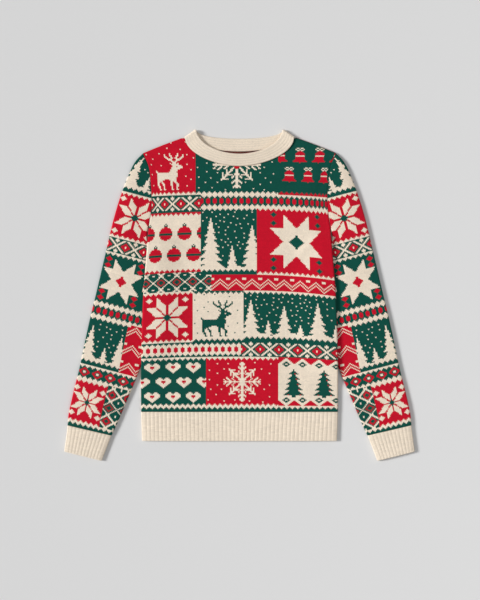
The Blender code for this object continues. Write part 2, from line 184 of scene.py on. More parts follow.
def creases_at(creases: Sequence[Crease], x: Array, y: Array) -> Array:
    """Height that the creases add.

    Args:
        creases: The ridges and troughs.
        x: First coordinates.
        y: Second coordinates.

    Returns:
        The height at each point.
    """
    total = np.zeros(np.broadcast(x, y).shape)
    for crease in creases:
        run_x, run_y = crease.x1 - crease.x0, crease.y1 - crease.y0
        length = run_x**2 + run_y**2
        along = np.clip(((x - crease.x0) * run_x + (y - crease.y0) * run_y) / length, 0, 1)
        off_x, off_y = x - crease.x0 - run_x * along, y - crease.y0 - run_y * along
        across = (off_x**2 + off_y**2) / crease.width**2
        swell = CREASE_ENDS + (1 - CREASE_ENDS) * np.sin(math.pi * along)
        total = total + crease.height * np.exp(-across) * swell
    return total


# Yarns, motifs and charts.


class Yarn(IntEnum):
    """The yarns of the jacquard."""

    CREAM = 0
    GREEN = 1
    RED = 2


class Role(IntEnum):
    """What a cell of a chart belongs to, before it is given a yarn."""

    GROUND = 0
    FIGURE = 1
    ACCENT = 2


YARN_COLORS = {
    Yarn.CREAM: (0.900, 0.775, 0.625),
    Yarn.GREEN: (0.002, 0.078, 0.056),
    Yarn.RED: (0.600, 0.004, 0.022),
}
# The reverse side's own brownish mix of floats, made darker with painted shade, as the inside lies in shadow
# through the neck.
REVERSE_AND_SHADE_COLOR = (0.150, 0.045, 0.036)
GROUND, FIGURE, ACCENT = Role


def hand_chart(*lines: str) -> Array:
    """A small chart written from the top down: a dot is the ground, # the figure and + the accent."""
    codes = {".": GROUND, "#": FIGURE, "+": ACCENT}
    return np.array([[codes[letter] for letter in line] for line in reversed(lines)])


REINDEER = hand_chart(
    "..............#.....#.......",
    "..........#...#.....#...#...",
    "..........#...##...##...#...",
    "..........##...#...#...##...",
    "...........##..##.##..##....",
    "............####...####.....",
    ".............###...###......",
    "...............##.##........",
    "................###.........",
    "..............#.###.#.......",
    "...............######.......",
    "................#######.....",
    "................###.####....",
    "...............#########....",
    "...............#######......",
    "..............######........",
    ".#............######........",
    ".##..........######.........",
    "..##################........",
    "..##################........",
    "..##################........",
    "..##################........",
    "..#################.........",
    "..#################.........",
    "..#######....######.........",
    "..#####.......#####.........",
    "..###.#.......##.##.........",
    "..##..##......##..##........",
    "..##...##.....##...##.......",
    "..##...##.....##...##.......",
    "...##...#......#...##.......",
    "...##...#......#...#........",
    "....#...#......#...#........",
    "....##..##.....##..##.......",
)

HEART = hand_chart(
    "..##...##..",
    ".####.####.",
    "###########",
    "####+++####",
    "####+++####",
    ".####+####.",
    "..#######..",
    "...#####...",
    "....###....",
    ".....#.....",
)

BELL = hand_chart(
    "...++.++...",
    "..+..+..+..",
    "...++.++...",
    "....###....",
    "...#####...",
    "..#######..",
    "..#######..",
    "..+++++++..",
    "..#######..",
    "..#######..",
    "..#######..",
    ".#########.",
    "###########",
    ".....#.....",
)

BAUBLE = hand_chart(
    ".....+.....",
    "....+.+....",
    "....+++....",
    "....###....",
    "..#######..",
    ".#########.",
    ".#########.",
    "###########",
    "###########",
    "+++++++++++",
    "+++++++++++",
    "###########",
    ".#########.",
    ".#########.",
    "..#######..",
    "....###....",
)

LOZENGE = hand_chart(
    "..#..",
    ".###.",
    "#####",
    ".###.",
    "..#..",
)


TOOTH = 4  # stitches from one tooth to the next
TOOTH_ROWS = 3  # rows that teeth take up, with one solid row under them
BORDER = 6  # rows of the border along the bottom of the body and the sleeves
LINE, SLANT_LINE = 1.6, 2.2  # half the breadth of straight and slanted lines, in millimetres


def add_teeth(cells: Array, code: int, solid: int = 1) -> None:
    """Adds fine teeth of one yarn, on some solid rows of it, along the bottom of a chart.

    Args:
        cells: The chart, which is changed. Teeth along the top take it upside down.
        code: What the teeth are filled with.
        solid: How many solid rows lie under the teeth.
    """
    away = np.abs(np.arange(cells.shape[1]) % TOOTH - TOOTH // 2)
    cells[:solid] = code
    for row in (0, 1):
        cells[solid + row, away <= 1 - row] = code


def spruce(width: int, height: int) -> Array:
    """Charts a spruce under snow, with ragged branches that come at other heights on either side.

    Args:
        width: Stitches across.
        height: Rows up.

    Returns:
        The chart.
    """
    y = np.arange(height)[:, None]
    x = np.arange(width)[None, :] - (width - 1) / 2
    down = (height - 1 - y) / (height - 1)
    tiers = max(3, height // 6)
    cone = 0.3 + (width / 2 - 0.3) * down**0.9
    right, left = (cone * (0.50 + 0.58 * np.mod(down * tiers + late, 1.0)) for late in (0, 0.5))
    return np.where((x <= right) & (-x <= left), FIGURE, GROUND)


def fir(width: int, height: int, tiers: int) -> Array:
    """Charts a fir of layered tiers on a short trunk, with a few lights of the accent's yarn.

    Args:
        width: Stitches across.
        height: Rows up.
        tiers: How many tiers of branches it has.

    Returns:
        The chart.
    """
    trunk = max(2, height // 12)
    y = np.arange(height)[:, None]
    x = np.arange(width)[None, :] - (width - 1) / 2
    down = np.clip((height - 1 - y) / (height - trunk), 0, 1)
    step = np.mod(down * tiers, 1.0)
    tier = np.floor(down * tiers) / tiers
    half = 0.4 + (width / 2 - 0.5) * (0.55 * tier + (1 - 0.55 * (tiers - 1) / tiers) * step**1.4)
    crown = (np.abs(x) <= half) & (y >= trunk)
    foot = (np.abs(x) <= max(0.5, width * 0.06)) & (y < trunk)
    lights = crown & ((x + 2 * y) % 9 == 0) & (y % 5 == 2) & (np.abs(x) < half - 2)
    return np.where(lights, ACCENT, np.where(crown | foot, FIGURE, GROUND))


class Patch:
    """A block of the patchwork while it is charted, with the bottom row first.

    x and y number its columns and rows, and level is how many rows a cell lies from the middle one. right
    and up are a cell's distances from the middle, big the larger and small the smaller of the two without
    their signs, and lag what lies between them, all in millimetres of cloth.
    """

    def __init__(self, width: int, height: int) -> None:
        """Starts with nothing but ground.

        Args:
            width: Stitches across.
            height: Rows up.
        """
        self.width, self.height = width, height
        self.cells = np.zeros((height, width), int)
        self.x, self.y = np.arange(width)[None, :], np.arange(height)[:, None]
        self.level = abs(self.y - (height - 1) / 2)
        self.right = (self.x - (width - 1) / 2) * CLOTH.stitch * 1000
        self.up = (self.y - (height - 1) / 2) * CLOTH.row * 1000
        self.big = np.maximum(abs(self.right), abs(self.up))
        self.small = np.minimum(abs(self.right), abs(self.up))
        self.lag = self.big - self.small

    def reach(self, share: float) -> float:
        """A share of the smaller side between the teeth, in millimetres."""
        return share * min(self.width * CLOTH.stitch, (self.height - 2 * TOOTH_ROWS) * CLOTH.row) * 1000

    def middles(self, pitch: int) -> list[int]:
        """Columns at the middle of equal parts, each as broad as the pitch or a little more."""
        count = max(1, self.width // pitch)
        return [int((i + 0.5) * self.width / count) for i in range(count)]

    def stamp(self, small: Array, x: int, y: int) -> None:
        """Lays a small chart's figure and accent over the block, cut off at its edges.

        Args:
            small: The small chart.
            x: Column of its left edge.
            y: Row of its bottom edge.
        """
        left, right = max(x, 0), min(x + small.shape[1], self.width)
        low, high = max(y, 0), min(y + small.shape[0], self.height)
        part = small[low - y : high - y, left - x : right - x]
        self.cells[low:high, left:right][part != GROUND] = part[part != GROUND]

    def stamp_corners(self, small: Array, x: float, y: float) -> None:
        """Lays a small chart over the block four times, as far to either side of its middle.

        Args:
            small: The small chart.
            x: Distance across from middle to middle, in millimetres.
            y: Distance up from middle to middle, in millimetres.
        """
        rows, columns = small.shape
        left = round((self.width - columns) / 2 - x / CLOTH.stitch / 1000)
        low = round((self.height - rows) / 2 - y / CLOTH.row / 1000)
        for column in (left, self.width - columns - left):
            for row in (low, self.height - rows - low):
                self.stamp(small, column, row)

    def scatter(self, pitch: int, low: int, high: int) -> None:
        """Scatters single stitches of the figure where the ground is free around them.

        Args:
            pitch: Rows from one line of them to the next, and half the stitches between them.
            low: The first row.
            high: The row they stay under.
        """
        random = np.random.default_rng(self.height + self.width)
        for j, y in enumerate(range(low, high, pitch)):
            for x in range(2 + (j % 2) * pitch, self.width - 2, 2 * pitch):
                across, up = x + random.integers(-1, 2), min(y + random.integers(-1, 2), self.height - 4)
                if not self.cells[max(up - 2, 0) : up + 3, max(across - 2, 0) : across + 3].any():
                    self.cells[up, across] = FIGURE

    def teeth(self) -> None:
        """Adds fine teeth of the figure's yarn along the bottom and the top."""
        for cells in (self.cells, self.cells[::-1]):
            add_teeth(cells, FIGURE)

    def star(self) -> None:
        """A traditional eight-point star with split points, and a small lozenge in each corner."""
        reach = self.reach(0.23)
        petal = (self.small <= reach) & (self.lag <= reach)
        split = (self.small < LINE) | (self.lag < SLANT_LINE)
        self.cells[petal & ~split] = FIGURE
        self.cells[self.big + self.small < 0.42 * reach] = ACCENT
        self.stamp_corners(LOZENGE, 1.72 * reach, 1.72 * reach)
        self.teeth()

    def broad_star(self) -> None:
        """A broad eight-point star with a small cross in the middle, between columns of lozenges."""
        reach = self.reach(0.225)
        self.cells[(self.small <= reach) & (self.lag <= reach)] = FIGURE
        self.cells[self.big + 1.6 * self.small < 0.62 * reach] = ACCENT
        for far in (1.30, 1.92):
            self.stamp_corners(LOZENGE * ACCENT, 1.66 * reach, far * reach)
        self.teeth()

    def snowflake(self) -> None:
        """A snowflake with eight branched arms."""
        reach, big, small = self.reach(0.44), self.big, self.small
        shape = (small < LINE) & (big < reach)
        shape |= (self.lag < 3.0) & (big < 0.70 * reach)
        for share, length in ((0.34, 0.20), (0.58, 0.24), (0.82, 0.16)):
            branch = abs(self.lag - share * reach) < SLANT_LINE
            shape |= branch & (small < length * reach) & (big < reach)
        for share in (0.42, 0.62):
            shape |= (abs(big - share * reach) < LINE) & (self.lag < 0.26 * reach)
        self.cells[shape] = FIGURE
        self.cells[big + small < 0.2 * reach] = ACCENT
        self.scatter(5, 5, self.height - 5)
        self.teeth()

    def firs(self) -> None:
        """Tall and short spruces that rise from snow, under falling snow."""
        sizes = (0.95, 0.42, 0.80, 0.34)
        left, index = -2, 0
        while left < self.width:
            tall = int((self.height - 13) * sizes[index % len(sizes)])
            tree = spruce(int(0.38 * tall) // 2 * 2 + 3, tall)
            self.stamp(tree, left, 6)
            left, index = left + tree.shape[1] + 2, index + 1
        drift = 7.0 + 0.9 * np.sin(self.x * 0.55) + 0.7 * np.sin(self.x * 0.21 + 1)
        self.cells[self.y < drift] = FIGURE
        self.scatter(3, 15, self.height - 4)
        self.cells[:5] = FIGURE
        add_teeth(self.cells, GROUND, 3)
        add_teeth(self.cells[::-1], FIGURE)

    def tall_fir(self) -> None:
        """Firs with lights, between broad teeth with a small lozenge over each gap."""
        for middle in self.middles(20):
            self.stamp(fir(17, self.height - 20, 5), middle - 8, 9)
        y = np.minimum(self.y, self.y[::-1])
        self.cells[y < 6.5 * ripple(self.x + 0.5, 12.0)] = ACCENT
        self.cells[abs(abs(self.x % 12 - 5.5) + abs(y - 6) - 2) < 0.6] = FIGURE

    def reindeer(self) -> None:
        """Reindeer in a row, under falling snow."""
        for middle in self.middles(34):
            self.stamp(REINDEER, middle - REINDEER.shape[1] // 2, 5)
        self.scatter(5, 8, self.height - 4)
        self.teeth()

    def repeat(self, small: Array, gap: int = 4) -> None:
        """Repeats a small chart in staggered rows.

        Args:
            small: The chart to repeat.
            gap: Free stitches and rows between the repeats.
        """
        step_x, step_y = small.shape[1] + gap, small.shape[0] + gap
        rows = max(1, (self.height - 4) // step_y)
        start = (self.height - rows * step_y + gap) // 2
        for j in range(rows):
            shift = (j % 2) * step_x // 2
            for x in range(gap // 2 + 1 - shift, self.width, step_x):
                self.stamp(small, x, start + j * step_y)
        self.teeth()

    def hearts(self) -> None:
        """Staggered hearts."""
        self.repeat(HEART)

    def bells(self) -> None:
        """Staggered bells."""
        self.repeat(BELL)

    def baubles(self) -> None:
        """Staggered baubles."""
        self.repeat(BAUBLE)

    def diamonds(self) -> None:
        """Nested lozenges in a lattice."""
        ring = 0.5 * (ripple(self.right + 18, 36.0) + ripple(self.up + 15, 30.0))
        self.cells[abs(ring - 0.50) < 0.065] = FIGURE
        self.cells[abs(ring - 0.24) < 0.05] = ACCENT
        self.cells[ring > 0.90] = FIGURE

    def zigzags(self) -> None:
        """Pairs of thin zigzag lines with dots between them."""
        level = (self.y - 1 + np.round(6 * ripple(self.x, 12.0)).astype(int)) % 17
        self.cells[(level == 6) | (level == 9)] = FIGURE
        self.cells[((self.y + 5) % 17 >= 15) & ((self.x + 1) % 12 < 3)] = ACCENT

    def crosses(self) -> None:
        """A band of crosses with lozenges between them and dots in their arms."""
        arm = ripple(self.x, 14.0) * 7
        self.cells[(np.abs(self.level - arm) < 0.8) & (self.level < 6.2)] = FIGURE
        lozenge = self.level + (7 - arm)
        self.cells[(lozenge < 3.6) & (self.cells == GROUND)] = ACCENT
        self.cells[lozenge < 0.8] = FIGURE
        self.cells[(np.abs(self.level - 5) + arm < 1.6) & (self.cells == GROUND)] = FIGURE

    def band(self) -> None:
        """A narrow band: toothed edges and a chain of lozenges with a dot in each."""
        self.teeth()
        away = abs(self.x % 10 - 4.5) + self.level
        self.cells[abs(away - 3.5) < 0.7] = ACCENT
        self.cells[away < 1.6] = FIGURE

    def pearls(self) -> None:
        """A band of large dots between toothed edges."""
        self.teeth()
        x = abs((self.x + 2) % 5 - 2)
        self.cells[((x < 2) & (self.level < 2.0)) | ((x < 1) & (self.level < 2.6))] = ACCENT


class Motif(Enum):
    """What a block of the patchwork shows, by the name of the method that charts it."""

    STAR = "star"
    BROAD_STAR = "broad_star"
    SNOWFLAKE = "snowflake"
    FIRS = "firs"
    TALL_FIR = "tall_fir"
    REINDEER = "reindeer"
    HEARTS = "hearts"
    BELLS = "bells"
    BAUBLES = "baubles"
    DIAMONDS = "diamonds"
    ZIGZAGS = "zigzags"
    CROSSES = "crosses"
    BAND = "band"
    PEARLS = "pearls"


class Block(NamedTuple):
    """A rectangle of the patchwork, in stitches from the left and rows from the bottom."""

    x: int
    y: int
    width: int
    height: int
    motif: Motif
    ground: Yarn
    figure: Yarn
    accent: Yarn


C, G, R = Yarn

BODY_BLOCKS = (
    Block(0, 5, 48, 47, Motif.HEARTS, G, C, R),
    Block(48, 5, 54, 47, Motif.SNOWFLAKE, R, C, C),
    Block(102, 5, 44, 47, Motif.TALL_FIR, C, G, R),
    Block(0, 52, 74, 14, Motif.PEARLS, C, G, R),
    Block(74, 52, 72, 14, Motif.CROSSES, G, C, R),
    Block(0, 66, 38, 48, Motif.STAR, R, C, G),
    Block(38, 66, 38, 48, Motif.REINDEER, C, G, R),
    Block(76, 66, 70, 48, Motif.FIRS, G, C, C),
    Block(0, 114, 52, 18, Motif.DIAMONDS, G, C, R),
    Block(52, 114, 94, 15, Motif.ZIGZAGS, R, C, C),
    Block(0, 132, 44, 56, Motif.BAUBLES, C, R, G),
    Block(44, 129, 42, 63, Motif.FIRS, G, C, C),
    Block(86, 129, 60, 63, Motif.BROAD_STAR, R, C, G),
    Block(0, 188, 44, 16, Motif.CROSSES, G, C, R),
    Block(44, 192, 102, 12, Motif.PEARLS, G, C, R),
    Block(0, 204, 40, 56, Motif.REINDEER, R, C, C),
    Block(40, 204, 62, 56, Motif.SNOWFLAKE, G, C, R),
    Block(102, 204, 44, 56, Motif.BELLS, G, R, C),
)

SLEEVE_BLOCKS = (
    Block(0, 5, 25, 41, Motif.STAR, R, C, G),
    Block(25, 5, 33, 41, Motif.DIAMONDS, G, C, R),
    Block(0, 46, 58, 14, Motif.BAND, G, C, R),
    Block(0, 60, 30, 46, Motif.FIRS, G, C, C),
    Block(30, 60, 28, 46, Motif.ZIGZAGS, R, C, C),
    Block(0, 106, 58, 12, Motif.PEARLS, G, C, R),
    Block(0, 118, 34, 50, Motif.BROAD_STAR, G, C, R),
    Block(34, 118, 24, 50, Motif.HEARTS, G, C, R),
    Block(0, 168, 58, 14, Motif.CROSSES, G, C, R),
    Block(0, 182, 32, 44, Motif.STAR, R, C, G),
    Block(32, 182, 26, 44, Motif.FIRS, G, C, C),
    Block(0, 226, 58, 44, Motif.FIRS, G, C, C),
)


def draw_chart(blocks: Sequence[Block], width: int, height: int) -> Array:
    """Draws a patchwork, with a toothed green border along its bottom.

    Args:
        blocks: The patchwork.
        width: Stitches across.
        height: Rows up.

    Returns:
        The yarn of each stitch, with the bottom row first.
    """
    chart = np.full((height, width), int(Yarn.GREEN))
    for block in blocks:
        patch = Patch(block.width, block.height)
        getattr(patch, block.motif.value)()
        yarns = np.array([block.ground, block.figure, block.accent])[patch.cells]
        chart[block.y : block.y + block.height, block.x : block.x + block.width] = yarns
    chart[:BORDER] = Yarn.CREAM
    add_teeth(chart, Yarn.GREEN, BORDER // 2)
    return chart


# Drafting meshes.


class Lattice:
    """A sheet of columns cut off at their own two ends, with rows of faces between them.

    closest is the least part of a row that is left between a row's line and the end of a column.
    """

    closest: float = 0.12

    def __init__(self, columns: Array, low: Array, high: Array, lines: Array, lag: Array) -> None:
        """Numbers the points and makes the faces.

        Args:
            columns: Each column's coordinate across.
            low: Where each column starts.
            high: Where it ends.
            lines: The rows' lines, from under every low end to over every high one.
            lag: How far each column's points lie under the rows' lines.
        """
        near = self.closest * float(lines[1] - lines[0])
        at = lines[None, :] - lag[:, None]
        inside = (at > low[:, None] + near) & (at < high[:, None] - near)
        over = at >= high[:, None] - near
        counts = inside.sum(axis=1)
        base = np.concatenate([[0], np.cumsum(counts + 2)[:-1]])
        rank = np.cumsum(inside, axis=1)
        ids = base[:, None] + np.where(inside, rank, np.where(over, counts[:, None] + 1, 0))
        self.low_ids, self.high_ids = base, base + counts + 1
        self.across = np.repeat(columns, counts + 2)
        self.spread = self.across.copy()
        self.along = np.empty(len(self.across))
        self.along[ids[inside]] = at[inside]
        self.along[self.low_ids], self.along[self.high_ids] = low, high
        corners = (ids[:-1, :-1], ids[1:, :-1], ids[1:, 1:], ids[:-1, 1:])
        self.faces = np.stack(corners, axis=-1).reshape(-1, 4)
        strip, row = np.meshgrid(np.arange(len(columns) - 1), np.arange(len(lines) - 1), indexing="ij")
        self.strip, self.row = strip.ravel(), row.ravel()
        self.merged = np.arange(len(self.across))

    def column(self, index: int) -> Array:
        """The numbers of one column's points, from its low end up."""
        return np.arange(self.low_ids[index], self.high_ids[index] + 1)

    def merge(self, points: Array, into: Array) -> None:
        """Makes points the same as others, as where two layers meet at a fold."""
        self.merged[points] = into


class Region(NamedTuple):
    """A place on a piece's flat map: its corner and its size for each metre of cloth."""

    x: float
    y: float
    scale: float

    def lay(self, across: Array, along: Array) -> Array:
        """Places on the map for coordinates that start at 0."""
        return np.stack([self.x + self.scale * across, self.y + self.scale * along], axis=-1)


def put_in_scene(name: str, data: bpy.types.ID) -> bpy.types.Object:
    """Makes an object and puts it in the scene.

    Args:
        name: Its name.
        data: The mesh, light or camera that it shows.

    Returns:
        The object.
    """
    thing = bpy.data.objects.new(name, data)
    bpy.context.scene.collection.objects.link(thing)
    return thing


@dataclass
class Draft:
    """Faces of three or four corners, gathered until they become an object.

    A face of three corners repeats one of them. Each corner has its colour, its place in stitches and
    rows, and its place on the flat map of the whole piece, which keeps a margin free all round.
    """

    points: list[Array] = field(default_factory=list)
    faces: list[Array] = field(default_factory=list)
    colors: list[Array] = field(default_factory=list)
    stitches: list[Array] = field(default_factory=list)
    maps: list[Array] = field(default_factory=list)
    margin: float = 0.01

    def add_points(self, points: Array) -> int:
        """Adds points and returns the number of the first one."""
        self.points.append(points)
        return sum(len(part) for part in self.points[:-1])

    def add_faces(self, faces: Array, colors: Array, stitches: Array, maps: Array) -> None:
        """Adds faces.

        Args:
            faces: Four point numbers for each face.
            colors: A colour for each corner, or one for each face.
            stitches: Each corner's place in stitches and rows.
            maps: Each corner's place on the flat map.
        """
        if colors.ndim == 2:
            colors = np.repeat(colors[:, None, :], 4, axis=1)
        kept = (faces == np.roll(faces, -1, axis=1)).sum(axis=1) <= 1
        self.faces.append(faces[kept])
        self.colors.append(colors[kept])
        self.stitches.append(stitches[kept])
        self.maps.append(maps[kept])

    def add_grid(self, points: Array, colors: Array, stitches: Array) -> None:
        """Adds a grid that closes in both directions, and spreads it over the whole flat map.

        Args:
            points: Points by section and by place round the section.
            colors: A colour for each face.
            stitches: Corner places in stitches and rows, one more than the points in each direction.
        """
        sections, around = points.shape[:2]
        first = self.add_points(points.reshape(-1, 3))
        i, j = np.meshgrid(np.arange(sections), np.arange(around), indexing="ij")
        steps = [(i, j), (i + 1, j), (i + 1, j + 1), (i, j + 1)]
        faces = np.stack([(a % sections) * around + b % around for a, b in steps], axis=-1).reshape(-1, 4)
        places = np.stack([stitches[a, b] for a, b in steps], axis=2).reshape(-1, 4, 2)
        used = 1 - 2 * self.margin
        flat = [
            np.stack([self.margin + used * a / sections, self.margin + used * b / around], axis=-1)
            for a, b in steps
        ]
        self.add_faces(first + faces, colors.reshape(-1, 3), places, np.stack(flat, axis=2).reshape(-1, 4, 2))

    def build(self, name: str, material: bpy.types.Material) -> bpy.types.Object:
        """Makes the object, with its faces turned outwards.

        Args:
            name: The object's name.
            material: Its material.

        Returns:
            The new object.
        """
        points = np.concatenate(self.points)
        faces = np.concatenate(self.faces)
        same = faces == np.roll(faces, -1, axis=1)
        small = same.any(axis=1)
        keep = np.array([[j for j in range(4) if j != i] for i in range(4)])[np.argmax(same[small], axis=1)]
        rows = np.arange(len(keep))[:, None]
        turn = -1 if signed_volume(points, faces) < 0 else 1

        def loops(values: Array) -> tuple[Array, Array]:
            """Splits values by corner into those of the quads and of the triangles, facing outwards."""
            return values[~small][:, ::turn], values[small][rows, keep][:, ::turn]

        quads, threes = loops(faces)
        used, number = np.unique(np.concatenate([quads.ravel(), threes.ravel()]), return_inverse=True)
        quads = number[: quads.size].reshape(-1, 4)
        threes = number[quads.size :].reshape(-1, 3)
        mesh = bpy.data.meshes.new(name)
        mesh.from_pydata(points[used].tolist(), [], quads.tolist() + threes.tolist())

        def corners(parts: list[Array]) -> Array:
            """One row of values for each corner of the mesh."""
            four, three = loops(np.concatenate(parts))
            return np.concatenate([four.reshape(-1, four.shape[-1]), three.reshape(-1, four.shape[-1])])

        colors = corners(self.colors)
        shade = mesh.color_attributes.new(name="yarn", type="FLOAT_COLOR", domain="CORNER")
        rgba = np.concatenate([colors, np.ones((len(colors), 1))], axis=1)
        shade.data.foreach_set("color", rgba.astype(np.float32).ravel())
        for layer, parts in (("stitch", self.stitches), ("OFBake", self.maps)):
            values = corners(parts).astype(np.float32)
            mesh.uv_layers.new(name=layer).data.foreach_set("uv", values.ravel())
        mesh.shade_smooth()
        mesh.materials.append(material)
        log.info("%s: %d quads and %d triangles", name, len(quads), len(threes))
        return put_in_scene(name, mesh)


def signed_volume(points: Array, faces: Array) -> float:
    """Measures what the faces enclose.

    Args:
        points: The points.
        faces: Four point numbers for each face.

    Returns:
        Six times the volume, under zero if the faces look inwards.
    """
    a, b, c, d = (points[faces[:, i]] for i in range(4))
    whole = np.einsum("ij,ij->i", a, np.cross(b, c)) + np.einsum("ij,ij->i", a, np.cross(c, d))
    return float(whole.sum())


# Knitted pieces.


@dataclass(frozen=True)
class BodyShape:
    """The body's outline, how it lies on the sleeves, and the front's loft over the back."""

    hem_bottom: float = -0.3285
    hem_seam: float = -0.2630
    underarm: float = 0.1510
    tip_y: float = 0.3200
    tip_half_width: float = 0.2175
    shape_power: int = 5
    neck_half_width: float = 0.1226
    neck_fold_y: float = 0.3515
    neck_power: float = 1.8
    shoulder_start: float = 0.1275
    shoulder_start_y: float = 0.3543
    crown: float = 0.0008
    dome: float = 0.0016
    dome_top: float = 0.3300
    dome_run: float = 0.1500
    fade: float = 0.0250
    lift: float = 0.0069
    lift_top: tuple[float, float] = (0.1490, 0.1270)
    lift_low: tuple[float, float] = (-0.1680, -0.2100)
    lift_ramp: float = 0.0800
    lift_margin: float = 0.0060
    dip: float = 0.0005
    underarm_dip: float = 0.0004
    dip_run: float = 0.0200
    dip_width: float = 0.0030
    width_rows: tuple[tuple[float, float], ...] = (
        (-0.3285, 0.2195),
        (-0.2630, 0.2215),
        (-0.1910, 0.2220),
        (-0.0110, 0.2170),
        (0.1260, 0.2065),
        (0.1510, 0.2045),
        (0.2020, 0.1975),
        (0.2560, 0.2000),
        (0.2880, 0.2040),
        (0.3200, 0.2175),
    )
    sleeve_rows: tuple[tuple[float, float, float, float], ...] = (
        (0.2345, 0.3010, 0.2064, 0.1480),
        (0.2490, 0.2730, 0.2072, 0.1445),
        (0.2630, 0.2370, 0.2078, 0.1400),
        (0.2760, 0.1980, 0.2080, 0.1345),
        (0.2885, 0.1520, 0.2074, 0.1260),
        (0.3000, 0.1020, 0.1975, 0.0820),
        (0.3115, 0.0530, 0.1890, 0.0260),
        (0.3240, 0.0000, 0.1870, -0.0320),
        (0.3368, -0.0530, 0.1965, -0.0900),
        (0.3490, -0.1080, 0.2150, -0.1430),
        (0.3610, -0.1660, 0.2370, -0.1985),
        (0.3740, -0.2180, 0.2575, -0.2470),
        (0.3850, -0.2680, 0.2770, -0.2930),
        (0.3872, -0.2930, 0.2880, -0.3160),
    )

    @property
    def hem_top(self) -> float:
        """Where the hem band starts, just under its seam."""
        return self.hem_seam - CLOTH.seam_gap / 2

    @property
    def flat(self) -> float:
        """Half width of a panel without its edge."""
        return self.tip_half_width - CLOTH.edge_radius

    def half_width_at(self, y: Array | float) -> Array:
        """Half the width of the body at a height."""
        keys, values = zip(*self.width_rows)
        return Curve(keys, values)(np.minimum(y, self.tip_y - CLOTH.edge_radius))

    def shoulder_at(self, x: Array | float) -> Array:
        """Height of the shoulder line.

        Args:
            x: Distance from the middle.

        Returns:
            The height.
        """
        share = (self.tip_half_width - x) / (self.tip_half_width - self.shoulder_start)
        line = self.tip_y + share * (self.shoulder_start_y - self.tip_y)
        return line + self.crown * np.sin(math.pi * np.clip(share, 0, 1))

    def dip_at(self, y: Array) -> Array:
        """How deep the seams that close the armhole lie, deepest next to the underarm."""
        return self.dip + self.underarm_dip * np.exp(-(((y - self.underarm) / self.dip_run) ** 2))

    def lift_at(self, x: Array, y: Array) -> Array:
        """Height of the back over the surface, where it lies on a sleeve.

        Args:
            x: Places across the body.
            y: Places up it.

        Returns:
            The height.
        """
        keys = [row[3] for row in self.sleeve_rows]
        edge = Curve(keys, [row[2] for row in self.sleeve_rows])(y)
        across = smooth((np.abs(x) - (edge - self.lift_ramp)) / (self.lift_ramp - self.lift_margin))
        top = smooth((self.lift_top[0] - y) / (self.lift_top[0] - self.lift_top[1]))
        low = smooth((y - self.lift_low[1]) / (self.lift_low[0] - self.lift_low[1]))
        return self.lift * across * top * low

    def freedom_at(self, x: Array, y: Array) -> Array:
        """1 in the middle of a panel, fading to 0 at the sides and the shoulders."""
        side = smooth((self.half_width_at(y) - CLOTH.edge_radius - np.abs(x)) / self.fade)
        return side * smooth((self.shoulder_at(np.abs(x)) - CLOTH.edge_radius - y) / self.fade)

    def loft_at(self, x: Array, y: Array, creases: Sequence[Crease]) -> Array:
        """Height that the front gains over two flat layers, from its dome and creases.

        Args:
            x: Places across the body.
            y: Places up it.
            creases: The front's large creases.

        Returns:
            The height.
        """
        dome = self.dome * (1 - (np.abs(x) / self.half_width_at(y)) ** 4)
        dome = dome * smooth((self.dome_top - y) / self.dome_run)
        return self.freedom_at(x, y) * (dome + creases_at(creases, x, y))


FRONT_CREASES = (
    Crease(-0.186, 0.138, -0.112, 0.084, 0.013, 0.0013),
    Crease(-0.190, 0.098, -0.126, 0.030, 0.015, -0.0007),
    Crease(0.184, 0.142, 0.122, 0.078, 0.012, 0.0012),
    Crease(0.190, 0.104, 0.140, 0.018, 0.017, -0.0007),
    Crease(-0.172, 0.292, -0.150, 0.196, 0.016, 0.0009),
    Crease(0.176, 0.286, 0.146, 0.210, 0.018, 0.0010),
    Crease(-0.104, -0.050, -0.128, -0.258, 0.021, 0.0011),
    Crease(-0.030, -0.128, -0.036, -0.262, 0.024, -0.0006),
    Crease(0.062, -0.092, 0.078, -0.262, 0.022, 0.0009),
    Crease(0.150, -0.030, 0.160, -0.240, 0.019, 0.0010),
)

SMALL_FRONT_CREASES = (
    Crease(-0.196, 0.146, -0.158, 0.128, 0.006, -0.0007),
    Crease(-0.168, 0.118, -0.118, 0.062, 0.006, -0.0005),
    Crease(0.196, 0.148, 0.150, 0.124, 0.006, -0.0007),
    Crease(0.166, 0.108, 0.128, 0.052, 0.007, -0.0005),
    Crease(-0.186, 0.250, -0.164, 0.186, 0.007, -0.0005),
    Crease(0.188, 0.262, 0.166, 0.182, 0.006, -0.0005),
    Crease(-0.070, 0.262, -0.118, 0.232, 0.009, 0.0004),
    Crease(0.064, 0.266, 0.104, 0.226, 0.010, 0.0004),
    Crease(-0.150, -0.120, -0.164, -0.240, 0.009, -0.0004),
    Crease(0.112, -0.150, 0.118, -0.254, 0.008, -0.0004),
    Crease(-0.196, -0.060, -0.150, -0.086, 0.009, 0.0004),
    Crease(0.198, -0.096, 0.158, -0.110, 0.010, 0.0004),
)

BACK_CREASES = (
    Crease(-0.150, 0.120, -0.090, 0.060, 0.011, 0.0006),
    Crease(0.158, 0.116, 0.104, 0.070, 0.012, 0.0006),
    Crease(-0.130, 0.262, -0.142, 0.176, 0.012, 0.0005),
    Crease(0.120, 0.270, 0.136, 0.190, 0.011, 0.0005),
    Crease(-0.080, -0.060, -0.092, -0.240, 0.014, 0.0005),
    Crease(0.048, -0.110, 0.040, -0.250, 0.016, 0.0004),
    Crease(0.126, -0.020, 0.134, -0.180, 0.013, 0.0005),
)

